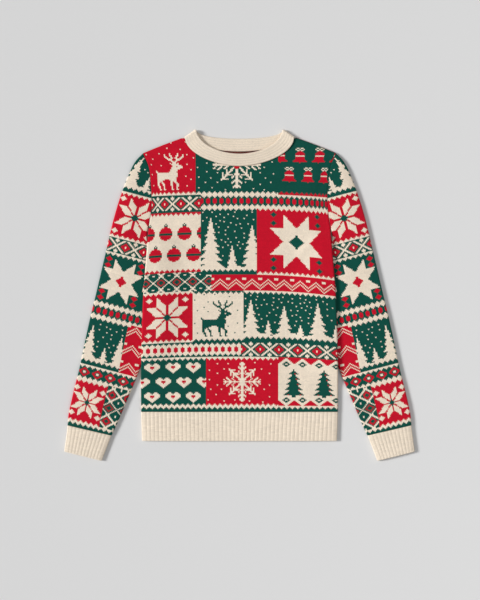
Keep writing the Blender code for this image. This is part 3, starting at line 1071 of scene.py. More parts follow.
SLEEVE_CREASES = (
    Crease(0.222, 0.146, 0.262, 0.092, 0.011, 0.0013),
    Crease(0.232, 0.176, 0.252, 0.236, 0.015, 0.0008),
    Crease(0.236, 0.030, 0.296, 0.004, 0.014, -0.0007),
    Crease(0.238, -0.034, 0.312, -0.046, 0.012, 0.0012),
    Crease(0.250, -0.096, 0.322, -0.086, 0.014, 0.0010),
    Crease(0.280, -0.220, 0.336, -0.258, 0.013, 0.0009),
)

SMALL_SLEEVE_CREASES = (
    Crease(0.212, 0.112, 0.226, 0.040, 0.009, -0.0008),
    Crease(0.226, 0.128, 0.250, 0.070, 0.006, -0.0005),
    Crease(0.240, 0.156, 0.272, 0.132, 0.007, 0.0004),
    Crease(0.258, 0.058, 0.300, 0.050, 0.007, 0.0005),
    Crease(0.248, -0.062, 0.318, -0.066, 0.006, -0.0005),
    Crease(0.286, -0.136, 0.344, -0.126, 0.009, 0.0005),
    Crease(0.300, -0.170, 0.352, -0.186, 0.008, -0.0004),
    Crease(0.296, -0.262, 0.352, -0.282, 0.006, 0.0005),
    Crease(0.308, -0.232, 0.366, -0.242, 0.007, -0.0004),
)

UNDER_CREASES = (
    Crease(0.250, -0.020, 0.310, -0.034, 0.010, 0.0003),
    Crease(0.262, -0.110, 0.330, -0.104, 0.011, 0.0003),
    Crease(0.290, -0.216, 0.342, -0.240, 0.010, 0.0003),
)


STITCH_SHADE, ROW_SHADE = 0.028, 0.012  # how far the shade of stitches and of whole rows strays
SHADE_LIMITS = (0.85, 1.15)
REVERSE_SHADE, REVERSE_SEED = 0.12, 5


def mix_yarns(chart: Array, seed: int) -> Array:
    """The colour of each stitch, uneven from stitch to stitch and from row to row.

    Args:
        chart: The yarn of each stitch.
        seed: Seed of the unevenness.

    Returns:
        Linear colours by row and stitch.
    """
    palette = np.array([YARN_COLORS[yarn] for yarn in Yarn])
    random = np.random.default_rng(seed)
    shade = 1 + STITCH_SHADE * random.standard_normal(chart.shape)
    shade = shade + ROW_SHADE * random.standard_normal((len(chart), 1))
    return palette[chart] * np.clip(shade, *SHADE_LIMITS)[..., None]


class Chain(NamedTuple):
    """A run of a piece's edge: its points in order and how far along the run each one lies, from 0 to 1."""

    points: Array
    at: Array


class KnitPiece:
    """A knitted wall of cloth: a fine outer surface, a coarse inner one and the cut edges between them.

    The regions are those of the outer surface, the inner one and the edges on the flat map. Each face of
    the inner surface is as broad and as high as coarse faces of the outer one.
    """

    name: str
    chart: Array
    regions: tuple[Region, Region, Region]
    coarse: int = 6
    edge_pitch: float = 0.05
    edge_breadth: float = 0.03
    edge_stitches: float = 200.0

    def lattice(self, fine: bool) -> Lattice:
        """The surface's lattice: the fine one of the outer surface, or the coarse one of the inner."""
        raise NotImplementedError

    def place(self, across: Array, along: Array, depth: float) -> Array:
        """Points of the cloth at coordinates across and along it, at a depth under its outer surface."""
        raise NotImplementedError

    def chains(self, lattice: Lattice) -> list[Chain]:
        """The runs of the cut edge, in order round the piece."""
        raise NotImplementedError

    def stitch_of(self, strip: Array) -> Array:
        """The chart's column for each strip of faces between two half stitches."""
        raise NotImplementedError

    def add_surface(self, draft: Draft, lattice: Lattice, fine: bool) -> int:
        """Adds one surface to the draft.

        Args:
            draft: The draft to add to.
            lattice: The surface's lattice.
            fine: True for the outer surface, false for the inner.

        Returns:
            The number of the surface's first point.
        """
        depth = 0.0 if fine else CLOTH.wall
        first = draft.add_points(self.place(lattice.across, lattice.along, depth))
        if fine:
            chart = mix_yarns(self.chart, len(self.name))
            row = np.clip(lattice.row, 0, len(chart) - 1)
            column = np.clip(self.stitch_of(lattice.strip), 0, chart.shape[1] - 1)
            colors = chart[row, column]
        else:
            random = np.random.default_rng(REVERSE_SEED)
            shade = 1 + REVERSE_SHADE * random.standard_normal((len(lattice.faces), 1))
            # The reverse colour carries painted shade as well as the floats' own colour; the random factor is
            # uneven tone.
            colors = np.array(REVERSE_AND_SHADE_COLOR) * shade
        flat = self.regions[0 if fine else 1].lay(
            lattice.spread - lattice.spread.min(), lattice.along - lattice.along.min()
        )
        places = np.stack([lattice.spread / CLOTH.stitch, lattice.along / CLOTH.row], axis=-1)
        corners = lattice.faces if fine else lattice.faces[:, ::-1]
        draft.add_faces(first + lattice.merged[corners], colors, places[corners], flat[corners])
        return first

    def build(self, material: bpy.types.Material) -> bpy.types.Object:
        """Makes the piece.

        Args:
            material: Its finish.

        Returns:
            The new object.
        """
        draft = Draft()
        fine, rough = self.lattice(True), self.lattice(False)
        starts = self.add_surface(draft, fine, True), self.add_surface(draft, rough, False)
        region = self.regions[2]
        for index, (outer, inner) in enumerate(zip(self.chains(fine), self.chains(rough))):
            faces, at = zip_edges(outer.at, inner.at)
            ids = np.concatenate(
                [starts[0] + fine.merged[outer.points], starts[1] + rough.merged[inner.points]]
            )
            strip = Region(region.x, region.y + index * self.edge_pitch, 1)
            flat = strip.lay(at[..., 0] * region.scale, at[..., 1] * self.edge_breadth)
            # The cut edges take the reverse colour, painted shade included.
            colors = np.broadcast_to(np.array(REVERSE_AND_SHADE_COLOR), (len(faces), 3))
            draft.add_faces(ids[faces], colors, at * np.array([self.edge_stitches, 1.0]), flat)
        return draft.build(self.name, material)


def zip_edges(outer: Array, inner: Array) -> tuple[Array, Array]:
    """Joins two runs of points with triangles, each of which advances on one of them.

    Args:
        outer: How far along each point of the outer run lies, from 0 to 1.
        inner: The same for the inner run, whose points are numbered after the outer ones.

    Returns:
        The triangles with their last corner repeated, and each corner's place along and across the run.
    """
    i, j, faces = 0, 0, []
    while i < len(outer) - 1 or j < len(inner) - 1:
        shift = len(outer)
        if j == len(inner) - 1 or (i < len(outer) - 1 and outer[i + 1] <= inner[j + 1]):
            faces.append((i + 1, i, shift + j, shift + j))
            i += 1
        else:
            faces.append((shift + j, shift + j + 1, i, i))
            j += 1
    places = np.concatenate(
        [np.stack([outer, np.zeros(len(outer))], axis=-1), np.stack([inner, np.ones(len(inner))], axis=-1)]
    )
    return np.array(faces), places[np.array(faces)]


def fold(step: Array, curl: Array, radius: float) -> tuple[Array, Array]:
    """How far cloth reaches out and drops as it turns over an edge.

    Args:
        step: Share of the turn, from 0 to 1.
        curl: 0 for a flat cut edge, 1 for a quarter turn.
        radius: Radius of the turn.

    Returns:
        The reach and the drop.
    """
    angle = step * math.pi / 2
    reach = (1 - curl) * step * CLOTH.edge_radius + curl * radius * np.sin(angle)
    drop = curl * (radius * (1 - np.cos(angle)) - step * CLOTH.seam_gap / 2)
    return reach, drop


@dataclass
class Panel(KnitPiece):
    """The front or the back: a panel with straight rows, cut to the neckline and the shoulders."""

    name: str
    is_front: bool
    neck_drop: float
    body: BodyShape
    chart: Array
    creases: tuple[Crease, ...]
    small_creases: tuple[Crease, ...] = ()
    regions: tuple[Region, Region, Region] = (
        Region(0.010, 0.010, 1.54),
        Region(0.705, 0.010, 0.60),
        Region(0.710, 0.500, 0.26),
    )
    left_sag: float = 0.008
    right_sag: float = 0.014
    sag_power: float = 2.4
    curl_run: float = 0.012
    close_to_neck: tuple[float, float] = (0.100, 0.130)
    close_to_side: float = 0.001
    wave_lengths: tuple[float, float] = (0.034, 0.013)
    front_waves: float = 0.0003
    back_waves: float = 0.0002
    noise: SoftNoise = field(default_factory=lambda: SoftNoise(11))

    @property
    def reach(self) -> float:
        """Half the panel's width, measured over its edge."""
        return self.body.flat + CLOTH.quarter

    @property
    def low(self) -> float:
        """Where the panel starts."""
        return self.body.hem_seam + CLOTH.seam_gap / 2

    def half_stitches(self) -> int:
        """How many half stitches lie across the panel."""
        return 2 * round(2 * self.reach / CLOTH.stitch)

    def top_at(self, across: Array) -> tuple[Array, Array]:
        """Height of the panel's upper edge, and how far it turns over there.

        Args:
            across: Places across the panel.

        Returns:
            The heights, and the curls from 0 at the neckline to 1 at the shoulder.
        """
        x, body = np.abs(across), self.body
        step = np.clip((x - body.flat) / CLOTH.quarter, 0, 1)
        share = np.clip(x / body.neck_half_width, 0, 1)
        drop = self.neck_drop + CLOTH.seam_gap
        neck = body.neck_fold_y - drop * (1 - share**body.neck_power) ** (1 / body.neck_power)
        turn = np.clip((x - body.neck_half_width) / (body.shoulder_start - body.neck_half_width), 0, 1)
        corner = body.neck_fold_y + turn * (body.shoulder_start_y - body.neck_fold_y)
        shoulder = body.shoulder_at(np.minimum(x, body.flat) + step * CLOTH.edge_radius)
        top = np.where(turn >= 1, shoulder, np.where(turn > 0, corner, neck))
        return top, smooth(turn)

    def lattice(self, fine: bool) -> Lattice:
        """The panel's lattice, with closer columns inside next to the neck's ends and the sides.

        Args:
            fine: True for the outer surface, false for the inner.

        Returns:
            The lattice.
        """
        count = self.half_stitches()
        index = np.arange(count + 1)
        columns = -self.reach + 2 * self.reach * index / count
        lag = np.where(index % 2 == 1, CLOTH.slant * CLOTH.row, 0.0)
        spacing = CLOTH.row
        if not fine:
            away = np.abs(columns)
            start, end = self.close_to_neck
            close = ((away > start) & (away < end)) | (away > self.body.flat - self.close_to_side)
            kept = (index % self.coarse == 0) | (index == count) | close
            columns, lag, spacing = columns[kept], np.zeros(kept.sum()), CLOTH.row * self.coarse
        top, curl = self.top_at(columns)
        high = top - CLOTH.edge_radius + curl * CLOTH.quarter + (1 - curl) * CLOTH.edge_radius
        lines = self.low + spacing * np.arange(math.ceil((high.max() - self.low) / spacing) + 2)
        return Lattice(columns, np.full(len(columns), self.low), high, lines, lag)

    def stitch_of(self, strip: Array) -> Array:
        """The chart's column for each strip of faces between two half stitches."""
        return strip // 2

    def place(self, across: Array, along: Array, depth: float) -> Array:
        """Points of the panel.

        Args:
            across: Places across, from the left side to the right one.
            along: Places up from the hem, measured over the shoulder.
            depth: Depth under the outer surface.

        Returns:
            The points.
        """
        body, radius = self.body, CLOTH.edge_radius - depth
        top, curl = self.top_at(across)
        start = top - CLOTH.edge_radius
        tail = curl * CLOTH.quarter + (1 - curl) * CLOTH.edge_radius
        sag = np.where(across < 0, self.left_sag, self.right_sag)
        sag = sag * (np.abs(across) / self.reach) ** self.sag_power
        along = along - sag * np.sin(math.pi * (along - self.low) / (start + tail - self.low))
        reach, sink = fold(np.clip((along - start) / tail, 0, 1), curl, radius)
        y = np.minimum(along, start) + reach
        step = np.clip((np.abs(across) - body.flat) / CLOTH.quarter, 0, 1)
        side_curl = smooth((body.underarm + CLOTH.edge_radius - y) / self.curl_run)
        side_reach, side_sink = fold(step, side_curl, radius)
        flat = np.minimum(np.abs(across), body.flat)
        pull = (body.half_width_at(y) - body.tip_half_width) * (flat / body.flat) ** body.shape_power
        x = np.copysign(flat + pull + side_reach, across)
        z = body.lift_at(x, y)
        freedom = body.freedom_at(x, y)
        waves = self.noise.waves(x, y, self.wave_lengths)
        if self.is_front:
            rim = self.reach - np.abs(across)
            seam = np.exp(-((rim / body.dip_width) ** 2)) * (1 - side_curl)
            seam = seam + np.exp(-(((start + tail - along) / body.dip_width) ** 2)) * (1 - curl)
            z = z + CLOTH.layers + body.loft_at(x, y, self.creases) - sink - side_sink - depth
            z = z + freedom * (creases_at(self.small_creases, x, y) + self.front_waves * waves)
            z = z - body.dip_at(y) * np.minimum(seam, 1)
        else:
            z = z + sink + side_sink + depth
            z = z + freedom * (creases_at(self.creases, x, y) + self.back_waves * np.maximum(waves, 0))
        return np.stack([x, y, z], axis=-1)

    def chains(self, lattice: Lattice) -> list[Chain]:
        """The hem edge, the right side, the neck and shoulders, and the left side.

        Args:
            lattice: The surface's lattice.

        Returns:
            The four runs.
        """
        across = lattice.across / (2 * self.reach) + 0.5
        low, high = lattice.low_ids, lattice.high_ids[::-1]
        right, left = lattice.column(-1), lattice.column(0)[::-1]

        def upwards(points: Array) -> Array:
            """How far up a side its points lie, from 0 to 1."""
            along = lattice.along[points]
            return (along - along.min()) / np.ptp(along)

        return [
            Chain(low, across[low]),
            Chain(right, upwards(right)),
            Chain(high, 1 - across[high]),
            Chain(left, 1 - upwards(left)),
        ]


@dataclass
class Sleeve(KnitPiece):
    """A sleeve: one panel wrapped round, with its seam along the inner edge, drafted for the right arm.

    Runs and fades are shares of the sleeve's breadth, from 0 at the inner fold to 1 at the outer one.
    """

    name: str
    side: int
    body: BodyShape
    chart: Array
    creases: tuple[Crease, ...] = SLEEVE_CREASES
    small_creases: tuple[Crease, ...] = SMALL_SLEEVE_CREASES
    under_creases: tuple[Crease, ...] = UNDER_CREASES
    small_rise: tuple[float, float] = (0.28, 0.12)
    small_fade: float = 0.15
    least_width: float = 1e-4
    nudge: float = 1e-6
    regions: tuple[Region, Region, Region] = (
        Region(0.010, 0.010, 1.48),
        Region(0.480, 0.010, 0.70),
        Region(0.480, 0.550, 0.40),
    )
    dome: float = 0.0013
    growth: float = 0.050
    ease: float = 0.0005
    bend_run: float = 0.008
    axis: tuple[float, float] = (-0.25, 0.968246)
    cuff_rise: float = 0.0025
    armhole_points: int = 80
    samples_along: int = 1600
    edge_fade: float = 0.2
    dip_fade: float = 0.01
    wave_lengths: tuple[float, float] = (0.030, 0.012)
    top_waves: float = 0.0003
    under_waves: float = 0.00015
    noise: SoftNoise = field(default_factory=lambda: SoftNoise(23))

    def __post_init__(self) -> None:
        """Works out the sleeve's two edges along its axis, and how far each column of stitches runs."""
        body, radius = self.body, CLOTH.edge_radius
        rows = np.array(body.sleeve_rows)
        height = np.linspace(body.underarm, body.tip_y, self.armhole_points)
        share = np.clip((height - body.underarm) / (body.tip_y - body.underarm), 0, 1)
        side = body.half_width_at(height) + CLOTH.seam_gap + self.ease * (1 - share)
        hole = np.stack([side, height], axis=-1)
        outer = np.concatenate([hole[-1:], rows[:, :2]])
        inner = np.concatenate([hole[:1], rows[:, 2:]])
        outer_t, outer_s = self.turn(outer)
        inner_t, inner_s = self.turn(inner)
        hole_t, hole_s = self.turn(hole)
        self.outer_edge = Curve(outer_t, outer_s)
        self.low, self.high, self.split = float(outer_t[-1]), float(hole_t[-1]), float(hole_t[0])
        t = np.linspace(self.low, self.high, self.samples_along)
        inner_curve = Curve(inner_t, inner_s)
        edge = np.where(t < self.split, inner_curve(t), np.interp(t, hole_t, hole_s))
        self.samples = t
        self.width = np.maximum(self.outer_edge(t) - edge, 0.0)
        bend = 1 - smooth((t - self.split) / self.bend_run)
        arc = radius * np.arccos(np.clip(1 - self.width / radius, -1, 1))
        arc = np.where(self.width < radius, arc, CLOTH.quarter + self.width - radius)
        self.limit = arc + bend * CLOTH.quarter - radius * np.sin(bend * math.pi / 2)
        self.limit = np.where(arc <= 0, 0, self.limit)
        self.wrap = self.limit + (1 - bend) * CLOTH.quarter
        self.widest = int(np.argmax(self.limit))
        self.half = CLOTH.stitch / 2
        self.count = int(self.limit.max() / self.half)

    def turn(self, points: Array) -> tuple[Array, Array]:
        """Places along the sleeve's axis and across it, for points of the plan."""
        up_x, up_y = self.axis
        return points[:, 0] * up_x + points[:, 1] * up_y, points[:, 0] * up_y - points[:, 1] * up_x

    def runs(self, across: Array) -> tuple[Array, Array]:
        """Where columns start and end.

        Args:
            across: The columns' distances from the outer fold.

        Returns:
            Their low and high ends along the axis.
        """
        away = np.abs(across)
        lower, upper = slice(0, self.widest + 1), slice(self.widest, None)
        rising = np.maximum.accumulate(self.limit[lower])
        falling = np.maximum.accumulate(self.limit[upper][::-1])
        low = np.interp(away, rising, self.samples[lower])
        cuff = self.low + self.cuff_rise * np.clip(away / self.limit[0], 0, 1)
        low = np.where(away <= self.limit[0], cuff, np.maximum(low, cuff))
        return low, np.interp(away, falling, self.samples[upper][::-1])

    def indices(self, fine: bool) -> Array:
        """Numbers of the columns in use, from the underside's seam round the outer fold to the top's.

        Args:
            fine: True for the outer surface, false for the inner.

        Returns:
            The numbers, which are 0 at the outer fold and under zero on the underside.
        """
        every = np.arange(-self.count, self.count + 1)
        if fine:
            return every
        low, high = self.runs(every * self.half)
        ends = max(abs(every[high >= self.split])), max(abs(every[low < self.cuff_end()]))
        wanted = {edge + extra for edge in ends for extra in (0, 1)} | {self.count}
        return every[(every % self.coarse == 0) | np.isin(np.abs(every), list(wanted))]

    def cuff_end(self) -> float:
        """Height just over the cuff seam, under the places where columns start from the inner fold."""
        return self.low + self.cuff_rise + self.nudge

    def lattice(self, fine: bool) -> Lattice:
        """The sleeve's lattice, with the column of the underside's seam once more at the end.

        Args:
            fine: True for the outer surface, false for the inner.

        Returns:
            The lattice.
        """
        index = self.indices(fine)
        count = len(index)
        order = np.append(np.arange(count), 0)
        columns = index[order] * self.half
        low, high = self.runs(columns)
        lag = np.where((index[order] % 2 == 1) & fine, CLOTH.slant * CLOTH.row, 0.0)
        spacing = CLOTH.row * (1 if fine else self.coarse)
        lines = self.low + spacing * np.arange(math.ceil((self.high - self.low) / spacing) + 2)
        lattice = Lattice(columns, low, high, lines, lag)
        lattice.merge(lattice.column(-1), lattice.column(0))
        lattice.spread[lattice.column(-1)] = columns[-2] + self.half
        for ends, closed in ((lattice.low_ids, low > self.cuff_end()), (lattice.high_ids, high < self.split)):
            for i in range(count):
                if index[i] > 0 and closed[i]:
                    lattice.merge(ends[i], lattice.merged[ends[count - 1 - i]])
        return lattice

    def stitch_of(self, strip: Array) -> Array:
        """The chart's column for each strip, counted from the outer fold."""
        return np.minimum(np.abs(strip - self.count + 0.5) // 2, self.chart.shape[1] - 1).astype(int)

    def place(self, across: Array, along: Array, depth: float) -> Array:
        """Points of the sleeve.

        Args:
            across: Distances round from the outer fold, over zero on the top and under zero below.
            along: Places along the axis, towards the shoulder.
            depth: Depth under the outer surface.

        Returns:
            The points.
        """
        body, edge = self.body, CLOTH.edge_radius
        radius, top = edge - depth, across >= 0
        width = np.interp(along, self.samples, self.width)
        wrap = np.interp(along, self.samples, self.wrap)
        away = np.minimum(np.abs(across), wrap)
        outer = np.clip(away / edge, 0, math.pi / 2)
        inner = np.clip((wrap - away) / edge, 0, math.pi / 2)
        inset = edge - radius * np.cos(outer) + np.maximum(away - CLOTH.quarter, 0)
        spare = np.maximum(away - (wrap - CLOTH.quarter), 0)
        inset = np.where(spare > 0, inset - spare + radius * np.cos(inner), inset)
        rise = radius * np.minimum(np.sin(outer), np.sin(inner))
        shift = self.outer_edge(along) - inset
        up_x, up_y = self.axis
        x = along * up_x + shift * up_y
        y = along * up_y - shift * up_x
        share = np.clip(1 - (inset - edge) / np.maximum(width - 2 * edge, self.least_width), 0, 1)
        hole = body.half_width_at(y) + CLOTH.seam_gap
        distance = np.hypot(np.maximum(x - hole, 0), np.maximum(body.underarm - y, 0))
        grown = smooth(distance / self.growth)
        dome = self.dome * np.sin(math.pi * np.clip((share - self.edge_fade) / (1 - self.edge_fade), 0, 1))
        fade = smooth(share / self.edge_fade) * smooth((1 - share) / self.edge_fade)
        start, run = self.small_rise
        open_fade = smooth((share - start) / run) * smooth((1 - share) / self.small_fade)
        waves = self.noise.waves(x, y, self.wave_lengths)
        over = grown * (dome + fade * creases_at(self.creases, x, y))
        small = creases_at(self.small_creases, x, y) + self.top_waves * waves
        over = over + grown * open_fade * small
        seam = np.exp(-((np.maximum(x - hole, 0) / body.dip_width) ** 2))
        seam = seam * smooth((y - body.underarm) / self.dip_fade)
        over = over - body.dip_at(y) * seam * smooth((wrap - away) / edge)
        low = creases_at(self.under_creases, x, y) + self.under_waves * np.maximum(waves, 0)
        under = fade * grown * low
        z = np.where(top, edge + rise + over * (rise > 0), edge - rise + under)
        return np.stack([self.side * x, y, z], axis=-1)

    def chains(self, lattice: Lattice) -> list[Chain]:
        """The cuff edge and the armhole edge, each from the inner fold all round.

        Args:
            lattice: The surface's lattice.

        Returns:
            The two runs.
        """
        runs = []
        for ends, limit in ((lattice.low_ids, self.limit[0]), (lattice.high_ids, None)):
            at = lattice.along[ends[:-1]]
            free = at <= self.cuff_end() if limit is not None else at >= self.split
            inside = np.flatnonzero(free)
            points = ends[np.arange(inside[0] - 1, inside[-1] + 2)]
            across = lattice.across[points]
            place = (across - across[0]) / (across[-1] - across[0])
            runs.append(Chain(points, place) if limit is not None else Chain(points[::-1], 1 - place[::-1]))
        return runs


LIP = np.linspace(0, math.pi, 8)[1:-1]  # the angles of the points round a rolled edge
RIB_SHADE = 0.03


@dataclass
class RibTube:
    """A flattened tube of rib knit with a soft rolled edge at its free end: the hem or a cuff.

    Between two ribs lies a gap, and rib_share is the rib's part of both. The inside has one row for so
    many of the outside as coarse says. lean is how far the ribs run sideways towards the free end, in
    the part of the tube that lean_from and the two lean runs give.
    """

    name: str
    length: float
    ribs: int
    rows: int
    seed: int
    height: float = 0.0006
    rib_share: float = 0.92
    rib_power: float = 0.5
    per_rib: int = 8
    coarse: int = 3
    stitches_per_rib: int = 3
    lean: float = 0.0
    lean_from: float = 0.45
    lean_runs: tuple[float, float] = (0.2, 0.1)
    # share of painted shade in the gaps between the ribs
    painted_gap_shade: float = 0.06
    end_shade: tuple[float, float] = (0.3, 0.72)

    def edges(self, down: Array) -> tuple[Array, Array]:
        """The tube's two edges in plan, at shares of its length from the seam."""
        raise NotImplementedError

    def rise(self, x: Array, y: Array, share: Array) -> Array:
        """How far the top lies over two flat layers, at places in plan and shares of the width."""
        raise NotImplementedError

    def crest_at(self, rib: Array) -> Array:
        """How much of its height a rib has, from 0 between two ribs to 1 in its middle."""
        return np.sin(math.pi * np.clip(np.mod(rib, 1.0) / self.rib_share, 0, 1)) ** self.rib_power

    def place(self, rib: Array, down: Array, depth: Array) -> Array:
        """Points of the tube.

        Args:
            rib: Places round the tube in ribs: along the top, round the far edge, back below and round.
            down: Shares of the length from the seam to the free end.
            depth: Depths under the outer surface.

        Returns:
            The points.
        """
        n, edge = self.ribs, CLOTH.edge_radius
        start, end = self.edges(down)
        away = (end - start) / np.linalg.norm(end - start, axis=-1, keepdims=True)
        near, far = start + away * edge, end - away * edge
        share = np.clip(np.where(rib < n + 1, rib / n, 1 - (rib - n - 1) / n), 0, 1)
        angle = math.pi * (np.clip(rib - n, 0, 1) + np.clip(rib - 2 * n - 1, 0, 1))
        on_top = smooth(np.minimum(rib, n - rib))
        relief = self.height * (self.crest_at(rib) + on_top - 1) * (1 - depth / CLOTH.wall)
        radius = edge - depth + relief
        plan = near + (far - near) * share[..., None] + away * (np.sin(angle) * radius)[..., None]
        start_run, end_run = self.lean_runs
        leaning = smooth(np.clip(share - self.lean_from, 0, 1) / start_run)
        bend = self.lean * down * leaning * smooth((1 - share) / end_run)
        x, y = plan[..., 0] - bend, plan[..., 1]
        z = edge + np.cos(angle) * radius + self.rise(x, y, share) * np.clip(np.cos(angle), 0, 1)
        return np.stack([x, y, z], axis=-1)

    def build(self, material: bpy.types.Material) -> bpy.types.Object:
        """Makes the tube.

        Args:
            material: Its finish.

        Returns:
            The new object.
        """
        around = (2 * self.ribs + 2) * self.per_rib
        half = CLOTH.wall / 2
        outside = np.linspace(0, 1 - half / self.length, self.rows + 1)
        inside = outside[:: -self.coarse]
        down = np.concatenate([outside, 1 - half / self.length * (1 - np.sin(LIP)), inside])
        depth = np.concatenate([0 * outside, half * (1 - np.cos(LIP)), 0 * inside + CLOTH.wall])
        down[-1], depth[-1] = 0.0, CLOTH.wall
        ribs = np.arange(around) / self.per_rib
        rib, level = np.meshgrid(ribs, down)
        points = self.place(rib, level, np.broadcast_to(depth[:, None], rib.shape))
        step = np.linalg.norm(np.diff(np.stack([down * self.length, depth], axis=-1), axis=0), axis=-1)
        run = np.concatenate([[0], np.cumsum(step), [step.sum() + CLOTH.wall]])
        across, along = np.meshgrid(np.arange(around + 1) / self.per_rib * self.stitches_per_rib, run)
        random = np.random.default_rng(self.seed)
        strays = random.standard_normal((len(down), 2 * self.ribs + 2)).repeat(self.per_rib, axis=1)
        # Painted shade: the colour darkens in the gaps between the ribs, where shade falls.
        crest = self.crest_at(rib + 0.5 / self.per_rib)
        shade = (1 + RIB_SHADE * strays) * (1 - self.painted_gap_shade + self.painted_gap_shade * crest)
        # The rows round the rolled edge keep less of this painted shade and come out a little lighter.
        lip = len(LIP) / 2
        ends = np.abs(np.arange(len(down)) - self.rows - lip) <= lip
        contrast, base = self.end_shade
        shade[ends] = shade[ends] * contrast + base
        colors = np.array(YARN_COLORS[Yarn.CREAM]) * shade[..., None]
        draft = Draft()
        draft.add_grid(points, colors, np.stack([across, along / CLOTH.row], axis=-1))
        return draft.build(self.name, material)


@dataclass
class Cuff(RibTube):
    """The cuff of one sleeve, between two runs of points from its seam to its free end."""

    side: int = 1
    dome: float = 0.00065
    inner: tuple[tuple[float, float], ...] = ((0.2886, -0.3165), (0.2988, -0.3430), (0.3105, -0.3735))
    outer: tuple[tuple[float, float], ...] = ((0.3870, -0.2936), (0.3905, -0.3210), (0.3948, -0.3525))

    def edge_at(self, rows: Sequence[Sequence[float]], down: Array) -> Array:
        """Points of one edge, at shares of its length."""
        x, y = (Curve((0, 0.5, 1), column)(down) for column in zip(*rows))
        return np.stack([self.side * x, y], axis=-1)

    def edges(self, down: Array) -> tuple[Array, Array]:
        """The cuff's inner and outer edge."""
        return self.edge_at(self.inner, down), self.edge_at(self.outer, down)

    def rise(self, x: Array, y: Array, share: Array) -> Array:
        """A low dome across the cuff."""
        return self.dome * np.sin(math.pi * share)


@dataclass
class Hem(RibTube):
    """The hem band round the bottom of the body."""

    body: BodyShape = BodyShape()

    def edges(self, down: Array) -> tuple[Array, Array]:
        """The hem's left and right edge.

        Args:
            down: Shares of the length from the seam to the free end.

        Returns:
            Points of the left edge and of the right one.
        """
        y = self.body.hem_top + (self.body.hem_bottom - self.body.hem_top) * down
        x = self.body.half_width_at(y)
        return np.stack([-x, y], axis=-1), np.stack([x, y], axis=-1)

    def rise(self, x: Array, y: Array, share: Array) -> Array:
        """The front's loft, which runs on into the hem."""
        return self.body.loft_at(x, y, FRONT_CREASES)


